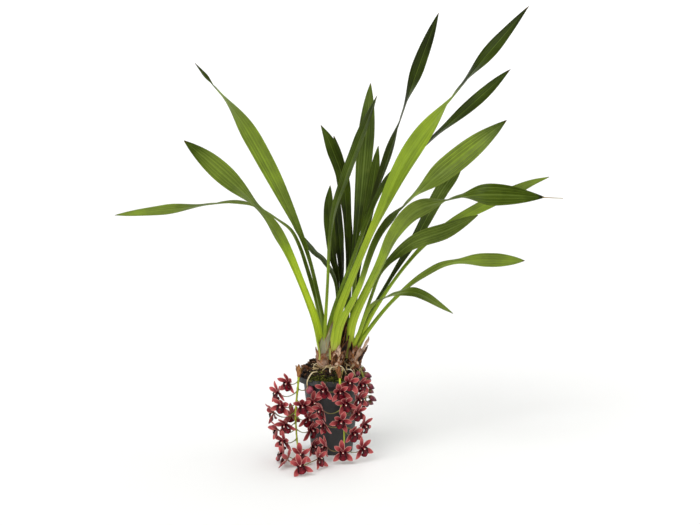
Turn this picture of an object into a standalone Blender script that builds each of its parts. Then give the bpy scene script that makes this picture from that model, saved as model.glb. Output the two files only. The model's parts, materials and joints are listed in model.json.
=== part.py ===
"""A pendulous orchid in its growing pot: pot, potting mix, moss, growths, leaves and flower spikes.

Metres, +Z up. The origin is on the pot's axis, on the face it stands on, and the front faces -Y.
"""

import math
from collections import namedtuple

import bmesh
import bpy
import numpy as np
from mathutils import Matrix, Vector

GAP = 0.0003  # left between pieces that touch

# Pot
POT_HEIGHT = 0.160
RIM_RADIUS = 0.070
COLLAR_HEIGHT = 0.0115
COLLAR_STEP = 0.0125  # how far the collar stands out from the top of the body
BASE_RADIUS = 0.042
POT_WALL = 0.0018
POT_FLOOR = 0.0035
POT_SIDES = 48
DRAIN_COUNT = 8
DRAIN_WIDTH = 0.009
DRAIN_HEIGHT = 0.006
DRAIN_INNER_RADIUS = 0.032

# Potting mix and moss
MIX_CROWN = 0.010  # how far the crown stands above the rim
MIX_CROWN_INSET = 0.0092  # from the inside of the rim to the edge of the crown
MIX_CROWN_SLOPE = 0.0015  # how far the crown's side spreads from its edge to the ledge
MIX_LEDGE_DROP = 0.005  # how far the ledge inside the rim lies below it
MOSS_THICKNESS = 0.0045
MOSS_FROM = 236.0  # degrees around the pot, 270 is the front
MOSS_TO = 275.0

# Growths: the swollen leafy shoots that the leaves come out of
GROWTH_HEIGHT = 0.038
GROWTH_FOOT_RADIUS = 0.0085
GROWTH_BELLY_RADIUS = 0.0115
GROWTH_NECK_RADIUS = 0.0095
GROWTH_SIDES = 14
GROWTH_SPACING = 0.001  # between the two growths at the back
GROWTH_BACK = (0.040, 0.030)  # where the right one of those two stands
LEAF_PITCH = 0.0036  # between leaf bases in a growth's row

# Leaves
STALK_WIDTH = 0.011
LEAF_THICKNESS = 0.0014
LEAF_TIP_WIDTH = 0.0012
LEAF_TIP_POWER = 2.5  # how long the blade stays wide on its way to the tip
CHANNEL_SHARE = 0.16  # depth of the leaf's fold for its width
LEAF_STEPS = 20
STALK_SHARE = 0.30  # share of the length that stays a stalk

# Spikes
STEM_RADIUS = 0.0022
STEM_TIP_RADIUS = 0.0013
STEM_SIDES = 6
STEM_STEP = 0.007
STALKLET_RADIUS = 0.0009  # the stalk of one flower
STALKLET_BEND = 0.42  # how long it holds its first and last direction, as a share of its length
RIM_CLEARANCE = 0.008  # stem axis to the rim's outer face
RIM_LIFT = 0.012  # stem axis above the rim where it goes over
STEM_RISE = 0.007  # how far a stem stands straight up out of the crown
FLOOR_CLEARANCE = 0.0035  # stem axis above the surface, where it lies along it
BUD_RADIUS = 0.0036
BUD_LENGTH = 0.012
BUD_SPIKE_AZIMUTH = -34  # where the young spike goes over the rim
BUD_SPIKE_DROP = 0.050  # how far it hangs below the rim

# Flowers
SEPAL_LENGTH = 0.0200
PETAL_LENGTH = 0.0180
LIP_LENGTH = 0.0110
TEPAL_WIDTH = 0.0078
TEPAL_THICKNESS = 0.0010
HUB_RADIUS = 0.0030
HUB_DEPTH = 0.0030
COLUMN_LENGTH = 0.0060
COLUMN_RADIUS = 0.0014

# Aerial root
ROOT_RADIUS = 0.0016
ROOT_AZIMUTH = 229.0
ROOT_DROP = 0.018

Growth = namedtuple("Growth", "x y leaves")
# route: points as offsets from the middle of the growth's top; rolls: (share of length, degrees)
Leaf = namedtuple("Leaf", "width widest rolls route")
# share of the spike's length; azimuth, reach and rise from the spike to the flower's back; the way
# its face looks, tilted up, and its turn on its own axis. Angles in degrees, lengths in sepals.
Flower = namedtuple("Flower", "share azimuth reach rise look tilt spin")

GROWTHS = {
    "left": Growth(-0.017, -0.006, (
        Leaf(0.040, 0.80, ((0, 180), (0.25, 120), (0.5, 135), (0.64, 172), (0.85, 110), (1, 120)),
             ((-0.025, -0.025, 0.090), (-0.080, -0.085, 0.240), (-0.130, -0.115, 0.315),
              (-0.200, -0.125, 0.385), (-0.260, -0.115, 0.435))),
        Leaf(0.034, 0.72,
             ((0, 180), (0.25, 120), (0.48, 190), (0.58, 205), (0.7, 180), (0.84, 145), (1, 140)),
             ((-0.015, 0.013, 0.095), (-0.050, 0.010, 0.215), (-0.085, 0.015, 0.260),
              (-0.165, 0.035, 0.295), (-0.300, 0.055, 0.280), (-0.425, 0.075, 0.265))),
        Leaf(0.037, 0.68, ((0, 180), (0.25, 130), (0.5, 110), (0.7, 118), (0.9, 180), (1, 225)),
             ((-0.008, -0.003, 0.090), (-0.045, -0.015, 0.240), (-0.145, -0.005, 0.440),
              (-0.250, 0.015, 0.575))),
        Leaf(0.036, 0.78, ((0, 0), (0.5, 25), (0.78, 30), (1, 25)),
             ((0.009, -0.035, 0.110), (0.020, -0.075, 0.270), (0.045, -0.095, 0.360),
              (0.105, -0.115, 0.520))),
        Leaf(0.032, 0.85, ((0, 0), (0.4, 40), (0.7, 10), (0.88, 40), (1, 30)),
             ((0.030, -0.005, 0.095), (0.080, 0.005, 0.235), (0.115, 0.015, 0.320),
              (0.155, 0.025, 0.370), (0.300, 0.055, 0.493), (0.375, 0.075, 0.560))),
    )),
    "middle": Growth(0.012, -0.018, (
        Leaf(0.044, 0.68, ((0, 0), (0.3, -50), (0.58, -85), (0.75, 0), (0.86, 50), (1, 50)),
             ((0.003, 0.002, 0.060), (0.030, -0.020, 0.145), (0.080, -0.050, 0.275),
              (0.140, -0.060, 0.405), (0.245, -0.040, 0.540), (0.370, 0.000, 0.685))),
        Leaf(0.044, 0.78, ((0, 0), (0.33, -45), (0.5, -40), (0.6, 0), (0.8, 85), (1, 60)),
             ((0.012, -0.020, 0.060), (0.045, -0.060, 0.140), (0.090, -0.080, 0.260),
              (0.185, -0.080, 0.358), (0.325, -0.060, 0.470))),
    )),
    "right": Growth(0.047, -0.004, (
        Leaf(0.044, 0.74, ((0, 0), (0.35, -60), (0.55, -75), (0.69, 0), (0.80, 70), (1, 50)),
             ((0.005, -0.035, 0.075), (0.050, -0.095, 0.190), (0.075, -0.125, 0.255),
              (0.110, -0.155, 0.303), (0.165, -0.175, 0.327), (0.245, -0.185, 0.340),
              (0.390, -0.155, 0.330))),
        Leaf(0.026, 0.70, ((0, 0), (0.4, -35), (0.6, 0), (0.75, 35), (1, 35)),
             ((0.010, -0.022, 0.040), (0.030, -0.070, 0.100), (0.060, -0.105, 0.130),
              (0.115, -0.145, 0.147), (0.185, -0.175, 0.113))),
        Leaf(0.036, 0.74, ((0, 0), (0.45, 30), (0.75, 60), (1, 45)),
             ((0.035, 0.020, 0.108), (0.060, 0.030, 0.163), (0.115, 0.032, 0.213),
              (0.185, 0.018, 0.242), (0.245, 0.005, 0.275))),
        Leaf(0.030, 0.75, ((0, 0), (0.5, 30), (0.8, 50), (1, 40)),
             ((0.040, 0.020, 0.075), (0.105, 0.050, 0.165), (0.190, 0.075, 0.242),
              (0.340, 0.110, 0.316), (0.400, 0.120, 0.338))),
        Leaf(0.034, 0.84, ((0, 0), (0.5, 30), (0.7, 10), (0.85, 40), (1, 30)),
             ((0.027, -0.010, 0.040), (0.075, -0.030, 0.106), (0.135, -0.050, 0.162),
              (0.200, -0.065, 0.193), (0.330, -0.075, 0.197))),
    )),
    "back_right": Growth(*GROWTH_BACK, (
        Leaf(0.036, 0.75, ((0, 0), (0.5, 70), (1, 75)),
             ((-0.004, 0.022, 0.095), (0.020, 0.100, 0.295), (0.040, 0.170, 0.525))),
        Leaf(0.034, 0.80, ((0, 0), (0.4, -40), (0.58, -45), (0.7, 0), (0.8, 50), (1, 50)),
             ((0.006, -0.006, 0.105), (0.017, 0.003, 0.205), (0.060, 0.020, 0.347),
              (0.125, 0.055, 0.533), (0.175, 0.070, 0.671))),
        Leaf(0.028, 0.75, ((0, 0), (0.5, 50), (1, 60)),
             ((0.014, 0.022, 0.130), (0.026, 0.045, 0.220), (0.042, 0.065, 0.309),
              (0.055, 0.085, 0.402))),
        Leaf(0.032, 0.85, ((0, 0), (0.5, 50), (0.9, 60), (1, 50)),
             ((0.035, 0.020, 0.056), (0.090, 0.070, 0.140), (0.135, 0.105, 0.207),
              (0.190, 0.150, 0.300), (0.235, 0.180, 0.353))),
    )),
    "back_left": Growth(GROWTH_BACK[0] - 2 * GROWTH_BELLY_RADIUS - GROWTH_SPACING, 0.034, (
        Leaf(0.022, 0.75, ((0, 0), (0.5, 40), (1, 40)),
             ((-0.005, 0.016, 0.120), (-0.030, 0.040, 0.169), (-0.055, 0.060, 0.189),
              (-0.097, 0.096, 0.232))),
        Leaf(0.028, 0.75, ((0, 0), (0.5, 50), (1, 60)),
             ((-0.003, 0.020, 0.130), (-0.015, 0.045, 0.190), (-0.022, 0.070, 0.271),
              (-0.020, 0.085, 0.320))),
        Leaf(0.026, 0.75, ((0, 0), (0.5, 50), (1, 60)),
             ((0.005, 0.046, 0.129), (0.000, 0.076, 0.202), (-0.006, 0.106, 0.270),
              (-0.002, 0.120, 0.308))),
        Leaf(0.032, 0.82, ((0, 180), (0.5, 130), (0.9, 125), (1, 140)),
             ((0.013, 0.025, 0.112), (0.011, 0.080, 0.300), (-0.016, 0.100, 0.394),
              (-0.039, 0.110, 0.442))),
        Leaf(0.028, 0.80, ((0, 180), (0.5, 130), (1, 120)),
             ((0.019, 0.045, 0.108), (0.019, 0.095, 0.206), (0.003, 0.150, 0.326),
              (-0.013, 0.185, 0.413))),
    )),
}

# Flowers along each spike; the joined ones, behind the others, are part of its stem
LEFT_FLOWERS = (
    Flower(0.17, -148, 1.1, 0, -125, 0, 0),
    Flower(0.24, -165, 1.9, 0, -140, 5, 15),
    Flower(0.31, -64, 1.45, 0, -85, -5, 8),
    Flower(0.32, -150, 1.6, 0, -110, -5, -15),
    Flower(0.38, 180, 2.1, -0.1, 172, -5, 0),
    Flower(0.45, -135, 1.3, 0, -115, -10, 25),
    Flower(0.41, -30, 1.4, 0, -60, -5, -15),
    Flower(0.50, -170, 1.8, 0, -165, -5, 20),
    Flower(0.57, -150, 1.4, 0, -125, -5, 0),
    Flower(0.50, -24, 1.55, 0.1, -48, 0, 15),
    Flower(0.81, -90, 0.4, 0.8, -85, 35, 0),
    Flower(0.80, 178, 1.6, 0.7, -165, 30, 10),
    Flower(0.91, -5, 1.6, 0.8, -30, 25, -10),
    Flower(1.00, -100, 0.7, 0.65, -95, 30, 20),
)
LEFT_JOINED = (
    Flower(0.30, -22, 1.75, 0, -66, 0, 0),
    Flower(0.42, 115, 0.9, 0, 115, 0, 0),
    Flower(0.62, -25, 1.6, 0.2, -40, 5, 0),
    Flower(0.92, 178, 1.3, 0.7, 160, 35, 0),
)
RIGHT_FLOWERS = (
    Flower(0.30, -168, 1.5, 0, -115, -5, 0),
    Flower(0.31, -90, 0.75, 0, -88, 0, 10),
    Flower(0.24, -28, 0.95, 0.15, -70, 10, -15),
    Flower(0.26, 4, 2.0, 0, -55, 0, 0),
    Flower(0.43, -66, 1.05, 0, -80, -5, 20),
    Flower(0.52, -168, 1.85, 0, -140, -5, 0),
    Flower(0.62, -95, 0.9, 0, -92, -10, -20),
    Flower(0.68, -172, 1.8, 0, -150, -10, 15),
    Flower(0.545, -15, 1.55, 0, -62, -5, 0),
    Flower(0.70, 0, 1.9, 0, -45, -5, 20),
    Flower(1.00, -95, 0.75, 0.3, -90, 15, 0),
    Flower(0.94, -170, 1.7, 0.15, -152, 10, 0),
    Flower(0.95, -8, 1.8, 0.1, -58, 10, 10),
)
RIGHT_JOINED = (
    Flower(0.41, 0, 1.7, 0, -48, 0, 0),
    Flower(0.55, 20, 1, 0, 10, 0, 0),
    Flower(0.76, -42, 1.15, 0, -62, 0, 0),
)
BUD_TURNS = (75, -75, 0, 50, -50, 75, -75, 0, 50, -50, 75, -75, 0, 50, -50, 75, -75)
BUDS = tuple(
    Flower(0.19 + 0.05 * i, BUD_SPIKE_AZIMUTH + turn, 0.4, -0.15, BUD_SPIKE_AZIMUTH + turn, -30, 0)
    for i, turn in enumerate(BUD_TURNS)
)
LONE_BUD = Flower(0.22, -15, 0.9, 0, -35, -10, 0)


def clear_scene():
    for old in list(bpy.data.objects):
        bpy.data.objects.remove(old, do_unlink=True)


def finish(name, colour, roughness, metallic=0.0):
    """A plain finish for one piece."""
    made = bpy.data.materials.new(name)
    made.use_nodes = True
    shader = made.node_tree.nodes["Principled BSDF"]
    shader.inputs["Base Color"].default_value = (*colour, 1.0)
    shader.inputs["Roughness"].default_value = roughness
    shader.inputs["Metallic"].default_value = metallic
    return made


def add_object(name, mesh, material, smooth=True, parent=None):
    made = bpy.data.objects.new(name, mesh)
    bpy.context.collection.objects.link(made)
    if not mesh.materials:
        mesh.materials.append(material)
    if smooth:
        mesh.shade_smooth()
        mesh.set_sharp_from_angle(angle=math.radians(40))
    made.parent = parent
    return made


def mesh_of(name, bm):
    bmesh.ops.recalc_face_normals(bm, faces=bm.faces)
    mesh = bpy.data.meshes.new(name)
    bm.to_mesh(mesh)
    bm.free()
    return mesh


def polar(radius, azimuth, height):
    angle = math.radians(azimuth)
    return Vector((radius * math.cos(angle), radius * math.sin(angle), height))


def smooth_curve(points):
    """A function of 0..1, even in length, through the points: a Catmull-Rom curve."""
    pts = np.array([tuple(p) for p in points], float)
    ends = np.vstack([2 * pts[0] - pts[1], pts, 2 * pts[-1] - pts[-2]])
    fine = []
    for i in range(len(pts) - 1):
        a, b, c, d = ends[i : i + 4]
        t = np.linspace(0, 1, 24, endpoint=False)[:, None]
        fine.append(
            0.5 * (2 * b + (c - a) * t + (2 * a - 5 * b + 4 * c - d) * t**2
                   + (3 * b - a - 3 * c + d) * t**3)
        )
    fine = np.vstack([*fine, pts[-1:]])
    run = np.concatenate([[0], np.cumsum(np.linalg.norm(np.diff(fine, axis=0), axis=1))])

    def at(share):
        return Vector([float(np.interp(share * run[-1], run, fine[:, k])) for k in range(3)])

    at.length = float(run[-1])
    return at


def tangent(curve, share):
    step = 0.003
    return (curve(min(share + step, 1)) - curve(max(share - step, 0))).normalized()


def eased(pairs, share):
    """A value read between (share, value) pairs with a smooth step."""
    for (s0, v0), (s1, v1) in zip(pairs, pairs[1:]):
        if share <= s1:
            t = (share - s0) / (s1 - s0)
            return v0 + (v1 - v0) * t * t * (3 - 2 * t)
    return pairs[-1][1]


def turned(name, profile, sides):
    """A closed body of revolution: the profile runs from axis to axis."""
    bm = bmesh.new()
    verts = [bm.verts.new((r, 0, z)) for r, z in profile]
    edges = [bm.edges.new(pair) for pair in zip(verts, verts[1:])]
    bmesh.ops.spin(
        bm, geom=verts + edges, cent=(0, 0, 0), axis=(0, 0, 1), steps=sides,
        angle=2 * math.pi, use_merge=True, use_duplicate=False,
    )
    bmesh.ops.remove_doubles(bm, verts=bm.verts, dist=0.00001)
    return mesh_of(name, bm)


def tube(name, curve, sides, step, radius, radius_end):
    """A closed tube along a curve, and its rings as a list of radii."""
    bm = bmesh.new()
    rings = []
    count = max(4, round(curve.length / step))
    side = None
    for i in range(count + 1):
        share = i / count
        along = tangent(curve, share)
        side = (side or along.orthogonal()).copy()
        side = (side - side.dot(along) * along).normalized()
        other = along.cross(side)
        size = radius + (radius_end - radius) * share
        ring = []
        for k in range(sides):
            angle = 2 * math.pi * k / sides
            offset = side * math.cos(angle) + other * math.sin(angle)
            ring.append(bm.verts.new(curve(share) + offset * size))
        rings.append(ring)
    for low, high in zip(rings, rings[1:]):
        for k in range(sides):
            bm.faces.new((low[k], low[(k + 1) % sides], high[(k + 1) % sides], high[k]))
    bm.faces.new(rings[0][::-1])
    bm.faces.new(rings[-1])
    return bm


def grow(bm, face, stations, across):
    """Extrudes a four-sided face through stations of (centre, direction, half width, half depth)."""
    normal = face.normal.copy()
    first = (across - across.dot(normal) * normal).normalized()
    second = normal.cross(first)
    middle = face.calc_center_median()
    signs = []
    for v in face.verts:
        offset = v.co - middle
        signs.append((math.copysign(1, offset.dot(first)), math.copysign(1, offset.dot(second))))
    for centre, direction, half_width, half_depth in stations:
        turn = normal.rotation_difference(direction)
        normal = direction
        first = turn @ first
        second = turn @ second
        face = bmesh.ops.extrude_discrete_faces(bm, faces=[face])["faces"][0]
        for v, (a, b) in zip(face.verts, signs):
            v.co = centre + first * (a * half_width) + second * (b * half_depth)
    return face


def body_top_radius():
    return RIM_RADIUS - COLLAR_STEP


def crown_radius():
    return RIM_RADIUS - POT_WALL - MIX_CROWN_INSET


def pot_mesh():
    """Tapered body with a wide stacking collar, open at the top."""
    shoulder = POT_HEIGHT - COLLAR_HEIGHT
    inner_rim = RIM_RADIUS - POT_WALL
    profile = (
        (0, 0), (BASE_RADIUS - 0.001, 0), (BASE_RADIUS, 0.001),
        (body_top_radius(), shoulder), (RIM_RADIUS - 0.0015, shoulder),
        (RIM_RADIUS, shoulder + 0.0015), (RIM_RADIUS, POT_HEIGHT - 0.0008),
        (RIM_RADIUS - 0.0006, POT_HEIGHT), (inner_rim, POT_HEIGHT),
        (inner_rim, shoulder + POT_WALL), (body_top_radius() - POT_WALL, shoulder + POT_WALL),
        (BASE_RADIUS - POT_WALL, POT_FLOOR), (0, POT_FLOOR),
    )
    return turned("pot", profile, POT_SIDES)


def add_pot():
    pot = add_object("pot", pot_mesh(), finish("pot_plastic", (0.045, 0.045, 0.05), 0.55))
    length = BASE_RADIUS + 0.010 - DRAIN_INNER_RADIUS
    bm = bmesh.new()
    for k in range(DRAIN_COUNT):
        size = Matrix.Diagonal((length, DRAIN_WIDTH, DRAIN_HEIGHT * 2, 1))
        place = Matrix.Translation((DRAIN_INNER_RADIUS + length / 2, 0, 0))
        turn = Matrix.Rotation(2 * math.pi * (k + 0.5) / DRAIN_COUNT, 4, "Z")
        bmesh.ops.create_cube(bm, size=1, matrix=turn @ place @ size)
    cutter = add_object("drain_cutter", mesh_of("drain_cutter", bm), pot.data.materials[0], False)
    cutter.hide_render = True
    cutter.display_type = "WIRE"
    cut = pot.modifiers.new("drain_slots", "BOOLEAN")
    cut.operation = "DIFFERENCE"
    cut.object = cutter
    return pot


def crown_height():
    return POT_HEIGHT + MIX_CROWN


def ledge_height():
    return POT_HEIGHT - MIX_LEDGE_DROP


def add_potting_mix():
    """The root ball and bark: it fills the pot, with a low crown above the rim."""
    shoulder = POT_HEIGHT - COLLAR_HEIGHT + POT_WALL + GAP
    neck = body_top_radius() - POT_WALL - GAP
    inner_rim = RIM_RADIUS - POT_WALL - GAP
    foot = POT_FLOOR + DRAIN_HEIGHT
    slope = (body_top_radius() - BASE_RADIUS) / (POT_HEIGHT - COLLAR_HEIGHT)
    foot_radius = BASE_RADIUS - POT_WALL - GAP * 2 + slope * (foot - POT_FLOOR)
    profile = (
        (0, foot), (foot_radius, foot), (neck, shoulder - GAP), (neck, shoulder),
        (inner_rim, shoulder), (inner_rim, ledge_height()), (crown_radius() + MIX_CROWN_SLOPE, ledge_height()),
        (crown_radius(), crown_height()), (crown_radius() * 0.5, crown_height()),
        (0, crown_height()),
    )
    mesh = turned("potting_mix", profile, POT_SIDES // 2)
    return add_object("potting_mix", mesh, finish("bark_mix", (0.13, 0.075, 0.04), 0.95), False)


def add_moss():
    """A mat along the front of the rim, domed across its width."""
    inner = crown_radius() + MIX_CROWN_SLOPE + GAP * 2
    outer = RIM_RADIUS - POT_WALL - GAP * 2
    floor = ledge_height() + GAP
    section = (
        (inner, floor), (outer, floor), (outer, floor + MOSS_THICKNESS * 0.6),
        ((inner + outer) / 2, floor + MOSS_THICKNESS), (inner, floor + MOSS_THICKNESS * 0.7),
    )
    bm = bmesh.new()
    count = 8
    rings = []
    for i in range(count + 1):
        azimuth = MOSS_FROM + (MOSS_TO - MOSS_FROM) * i / count
        rings.append([bm.verts.new(polar(r, azimuth, z)) for r, z in section])
    for low, high in zip(rings, rings[1:]):
        for k in range(len(section)):
            m = (k + 1) % len(section)
            bm.faces.new((low[k], low[m], high[m], high[k]))
    bm.faces.new(rings[0][::-1])
    bm.faces.new(rings[-1])
    return add_object("moss", mesh_of("moss", bm), finish("moss_green", (0.14, 0.22, 0.03), 0.95), False)


def add_growth(name, growth):
    """A swollen shoot in its papery sheaths, flat where it stands and where its leaves begin."""
    low = crown_height() + GAP
    profile = (
        (0, 0), (GROWTH_FOOT_RADIUS, 0), (GROWTH_BELLY_RADIUS, GROWTH_HEIGHT * 0.35),
        (GROWTH_BELLY_RADIUS * 0.95, GROWTH_HEIGHT * 0.65), (GROWTH_NECK_RADIUS, GROWTH_HEIGHT),
        (0, GROWTH_HEIGHT),
    )
    mesh = turned(name, profile, GROWTH_SIDES)
    made = add_object(name, mesh, finish(name + "_sheath", (0.30, 0.20, 0.13), 0.8))
    made.location = (growth.x, growth.y, low)
    return made


def leaf_width(leaf, share):
    """Stalk first, then a blade that is widest at leaf.widest and ends in a point."""
    if share >= leaf.widest:
        t = (share - leaf.widest) / (1 - leaf.widest)
        return LEAF_TIP_WIDTH + (leaf.width - LEAF_TIP_WIDTH) * (1 - t**LEAF_TIP_POWER)
    if share <= STALK_SHARE:
        return STALK_WIDTH
    t = (share - STALK_SHARE) / (leaf.widest - STALK_SHARE)
    return STALK_WIDTH + (leaf.width - STALK_WIDTH) * t * t * (3 - 2 * t)


def leaf_mesh(name, leaf, start, top):
    """A folded strip: two edges, a rib below and a channel above, along the leaf's route.

    Both faces are cut into triangles along the same lines, so that they stay apart where it twists.
    """
    route = [start] + [Vector(p) + top for p in leaf.route]
    curve = smooth_curve(route)
    bm = bmesh.new()
    rings = []
    for i in range(LEAF_STEPS + 1):
        share = i / LEAF_STEPS
        along = tangent(curve, share) if i else Vector((0, 0, 1))
        depth = (Vector((0, 1, 0)) - along.y * along).normalized()
        cross = along.cross(depth)
        roll = math.radians(eased(leaf.rolls, share))
        wide = depth * math.cos(roll) + cross * math.sin(roll)
        face = along.cross(wide)
        half = leaf_width(leaf, share) / 2
        fold = half * 2 * CHANNEL_SHARE
        centre = curve(share)
        thick = LEAF_THICKNESS / 2 * (1 if share < 0.9 else 1 - (share - 0.9) * 7)
        places = (
            centre + wide * half + face * fold, centre + face * thick,
            centre - wide * half + face * fold, centre - face * thick,
        )
        rings.append([bm.verts.new(p) for p in places])
    for low, high in zip(rings, rings[1:]):
        for edge in (0, 2):
            for rib in (1, 3):
                bm.faces.new((low[edge], low[rib], high[rib]))
                bm.faces.new((low[edge], high[rib], high[edge]))
    for ring in (rings[0], rings[-1]):
        bm.faces.new((ring[0], ring[1], ring[3]))
        bm.faces.new((ring[1], ring[2], ring[3]))
    return mesh_of(name, bm)


def add_leaves(name, growth):
    top = Vector((growth.x, growth.y, crown_height() + GROWTH_HEIGHT + GAP * 2))
    count = len(growth.leaves)
    for i, leaf in enumerate(growth.leaves):
        start = top + Vector(((i - (count - 1) / 2) * LEAF_PITCH, 0, 0))
        label = f"leaf_{name}_{i + 1}"
        green = finish(label + "_green", (0.10, 0.22, 0.035), 0.35)
        add_object(label, leaf_mesh(label, leaf, start, top), green)


def flower_mesh():
    """Three sepals, two petals, a lip and a column on one small hub; it faces +Z, its top is +Y."""
    bm = bmesh.new()
    turn = Matrix.Rotation(math.radians(30), 4, "Z")
    made = bmesh.ops.create_cone(
        bm, cap_ends=True, segments=6, radius1=HUB_RADIUS, radius2=HUB_RADIUS, depth=HUB_DEPTH,
        matrix=Matrix.Translation((0, 0, HUB_DEPTH / 2)) @ turn,
    )
    bm.normal_update()
    front = max(bm.faces, key=lambda f: f.calc_center_median().z)
    sides = [f for f in bm.faces if abs(f.normal.z) < 0.5]
    for face in sides:
        out = face.normal.copy()
        angle = round(math.degrees(math.atan2(out.y, out.x))) % 360
        is_lip = angle == 270
        length = LIP_LENGTH if is_lip else PETAL_LENGTH if angle in (30, 150) else SEPAL_LENGTH
        bend = 0.55 if is_lip else 0.25
        wide = TEPAL_WIDTH * (1.1 if is_lip else 1.0)
        axis = Vector((0, 0, 1))
        across = axis.cross(out)
        start = HUB_DEPTH / 2
        stations = []
        for share, width_share in ((0.55, 1.0), (1.0, 0.25)):
            reach = out * (length * share) + axis * (start + length * bend * share * share)
            direction = (out + axis * (2 * bend * share)).normalized()
            stations.append((reach, direction, wide * width_share / 2, TEPAL_THICKNESS / 2))
        grow(bm, face, stations, across)
    bmesh.ops.inset_individual(bm, faces=[front], thickness=HUB_RADIUS - COLUMN_RADIUS)
    for v in front.verts:
        v.co.z += COLUMN_LENGTH
    return mesh_of("flower", bm)


def facing(flower):
    flat = polar(1, flower.look, 0)
    tilt = math.radians(flower.tilt)
    return (flat * math.cos(tilt) + Vector((0, 0, math.sin(tilt)))).normalized()


def flower_back(curve, flower):
    return curve(flower.share) + polar(flower.reach, flower.azimuth, flower.rise) * SEPAL_LENGTH


def flower_place(curve, flower, sunk=0.0):
    """Where a flower sits: its back at the end of its stalk, its face along its direction."""
    look = facing(flower)
    up = Vector((0, 0, 1)) - look.z * look
    up.normalize()
    frame = Matrix((up.cross(look), up, look)).transposed().to_4x4()
    spin = Matrix.Rotation(math.radians(flower.spin), 4, "Z")
    return Matrix.Translation(flower_back(curve, flower) - look * sunk) @ frame @ spin


def stem_mesh(name, curve, flowers, buds=()):
    """The spike's axis with one stalk for each flower, each grown out of the nearest side."""
    bm = tube(name, curve, STEM_SIDES, STEM_STEP, STEM_RADIUS, STEM_TIP_RADIUS)
    bm.normal_update()
    sides = [f for f in bm.faces if len(f.verts) == 4]
    used = set()
    for flower in [*flowers, *buds]:
        look = facing(flower)
        base = curve(flower.share)
        is_bud = flower in buds
        end = flower_back(curve, flower) - (0 if is_bud else GAP) * look
        out = (end - base).normalized()
        free = [f for f in sides if f not in used]
        face = min(
            free, key=lambda f: (f.calc_center_median() - base).length - 0.006 * f.normal.dot(out)
        )
        used.add(face)
        begin = face.calc_center_median()
        lead = (end - begin).length * STALKLET_BEND
        pull = begin + face.normal * lead
        push = end - look * lead
        stations = []
        for t in (0.35, 0.7, 1.0):
            s = 1 - t
            place = (begin * s**3 + pull * (3 * s * s * t) + push * (3 * s * t * t) + end * t**3)
            heading = ((pull - begin) * s * s + (push - pull) * (2 * s * t) + (end - push) * t * t)
            stations.append((place, heading.normalized(), STALKLET_RADIUS, STALKLET_RADIUS))
        if is_bud:
            for share, size in ((0.25, 0.85), (0.6, 0.9), (1.0, 0.25)):
                place = end + look * (BUD_LENGTH * share)
                stations.append((place, look, BUD_RADIUS * size, BUD_RADIUS * size))
        grow(bm, face, stations, tangent(curve, flower.share))
    return mesh_of(name, bm)


def add_spike(name, route, flowers, joined, buds, flower_shape, colours):
    curve = smooth_curve(route)
    stem = add_object(name, stem_mesh(name, curve, [*flowers, *joined], buds), colours["stem"])
    for i, flower in enumerate(flowers):
        bloom = add_object(f"{name}_flower_{i + 1:02d}", flower_shape, colours["flower"])
        bloom.matrix_world = flower_place(curve, flower)
    if joined:
        group = bpy.data.collections.new(name + "_joined")
        bpy.context.scene.collection.children.link(group)
        for i, flower in enumerate(joined):
            bloom = bpy.data.objects.new(f"{name}_joined_{i + 1}", flower_shape)
            group.objects.link(bloom)
            bloom.matrix_world = flower_place(curve, flower, sunk=0.001)
            bloom.hide_render = True
            bloom.display_type = "WIRE"
        union = stem.modifiers.new("joined_flowers", "BOOLEAN")
        union.operation = "UNION"
        union.operand_type = "COLLECTION"
        union.collection = group
    return stem


def rising(radius, azimuth):
    """The first two points of a stem: straight up out of the crown."""
    foot = crown_height() + GAP
    return (polar(radius, azimuth, foot), polar(radius, azimuth, foot + STEM_RISE))


def left_route():
    """Out of the crown, over the rim, down beside the pot and along the surface to the front."""
    hang = RIM_RADIUS + RIM_CLEARANCE
    low = FLOOR_CLEARANCE
    landing = polar(hang + 0.004, 214, 0)
    return (
        *rising(crown_radius() - 0.006, 204),
        polar(RIM_RADIUS - 0.007, 206, POT_HEIGHT + RIM_LIFT + 0.009),
        polar(RIM_RADIUS + 0.003, 208, POT_HEIGHT + RIM_LIFT - 0.002),
        polar(hang, 211, POT_HEIGHT - COLLAR_HEIGHT),
        polar(hang + 0.007, 212, POT_HEIGHT * 0.55),
        polar(hang + 0.005, 213, POT_HEIGHT * 0.20),
        landing + Vector((0.002, -0.012, low + 0.004)),
        landing + Vector((0.006, -0.045, low)),
        landing + Vector((0.012, -0.105, low)),
    )


def right_route():
    """Over the front of the rim and down to the surface, a little right of the middle."""
    hang = RIM_RADIUS + RIM_CLEARANCE
    return (
        *rising(crown_radius() - 0.006, 286),
        polar(RIM_RADIUS - 0.006, 284, POT_HEIGHT + RIM_LIFT + 0.009),
        polar(hang - 0.002, 283, POT_HEIGHT + 0.003),
        polar(hang + 0.002, 284, POT_HEIGHT * 0.70),
        polar(hang + 0.003, 288, POT_HEIGHT * 0.40),
        polar(hang + 0.006, 287, FLOOR_CLEARANCE + 0.014),
    )


def bud_route():
    """A young spike over the right of the rim, hung with closed buds."""
    hang = RIM_RADIUS + RIM_CLEARANCE
    return (
        *rising(crown_radius() - 0.004, BUD_SPIKE_AZIMUTH),
        polar(RIM_RADIUS - 0.004, BUD_SPIKE_AZIMUTH, POT_HEIGHT + RIM_LIFT + 0.009),
        polar(hang - 0.001, BUD_SPIKE_AZIMUTH, POT_HEIGHT + 0.003),
        polar(hang + 0.004, BUD_SPIKE_AZIMUTH, POT_HEIGHT - BUD_SPIKE_DROP * 0.6),
        polar(hang + 0.005, BUD_SPIKE_AZIMUTH - 2, POT_HEIGHT - BUD_SPIKE_DROP),
    )


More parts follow.
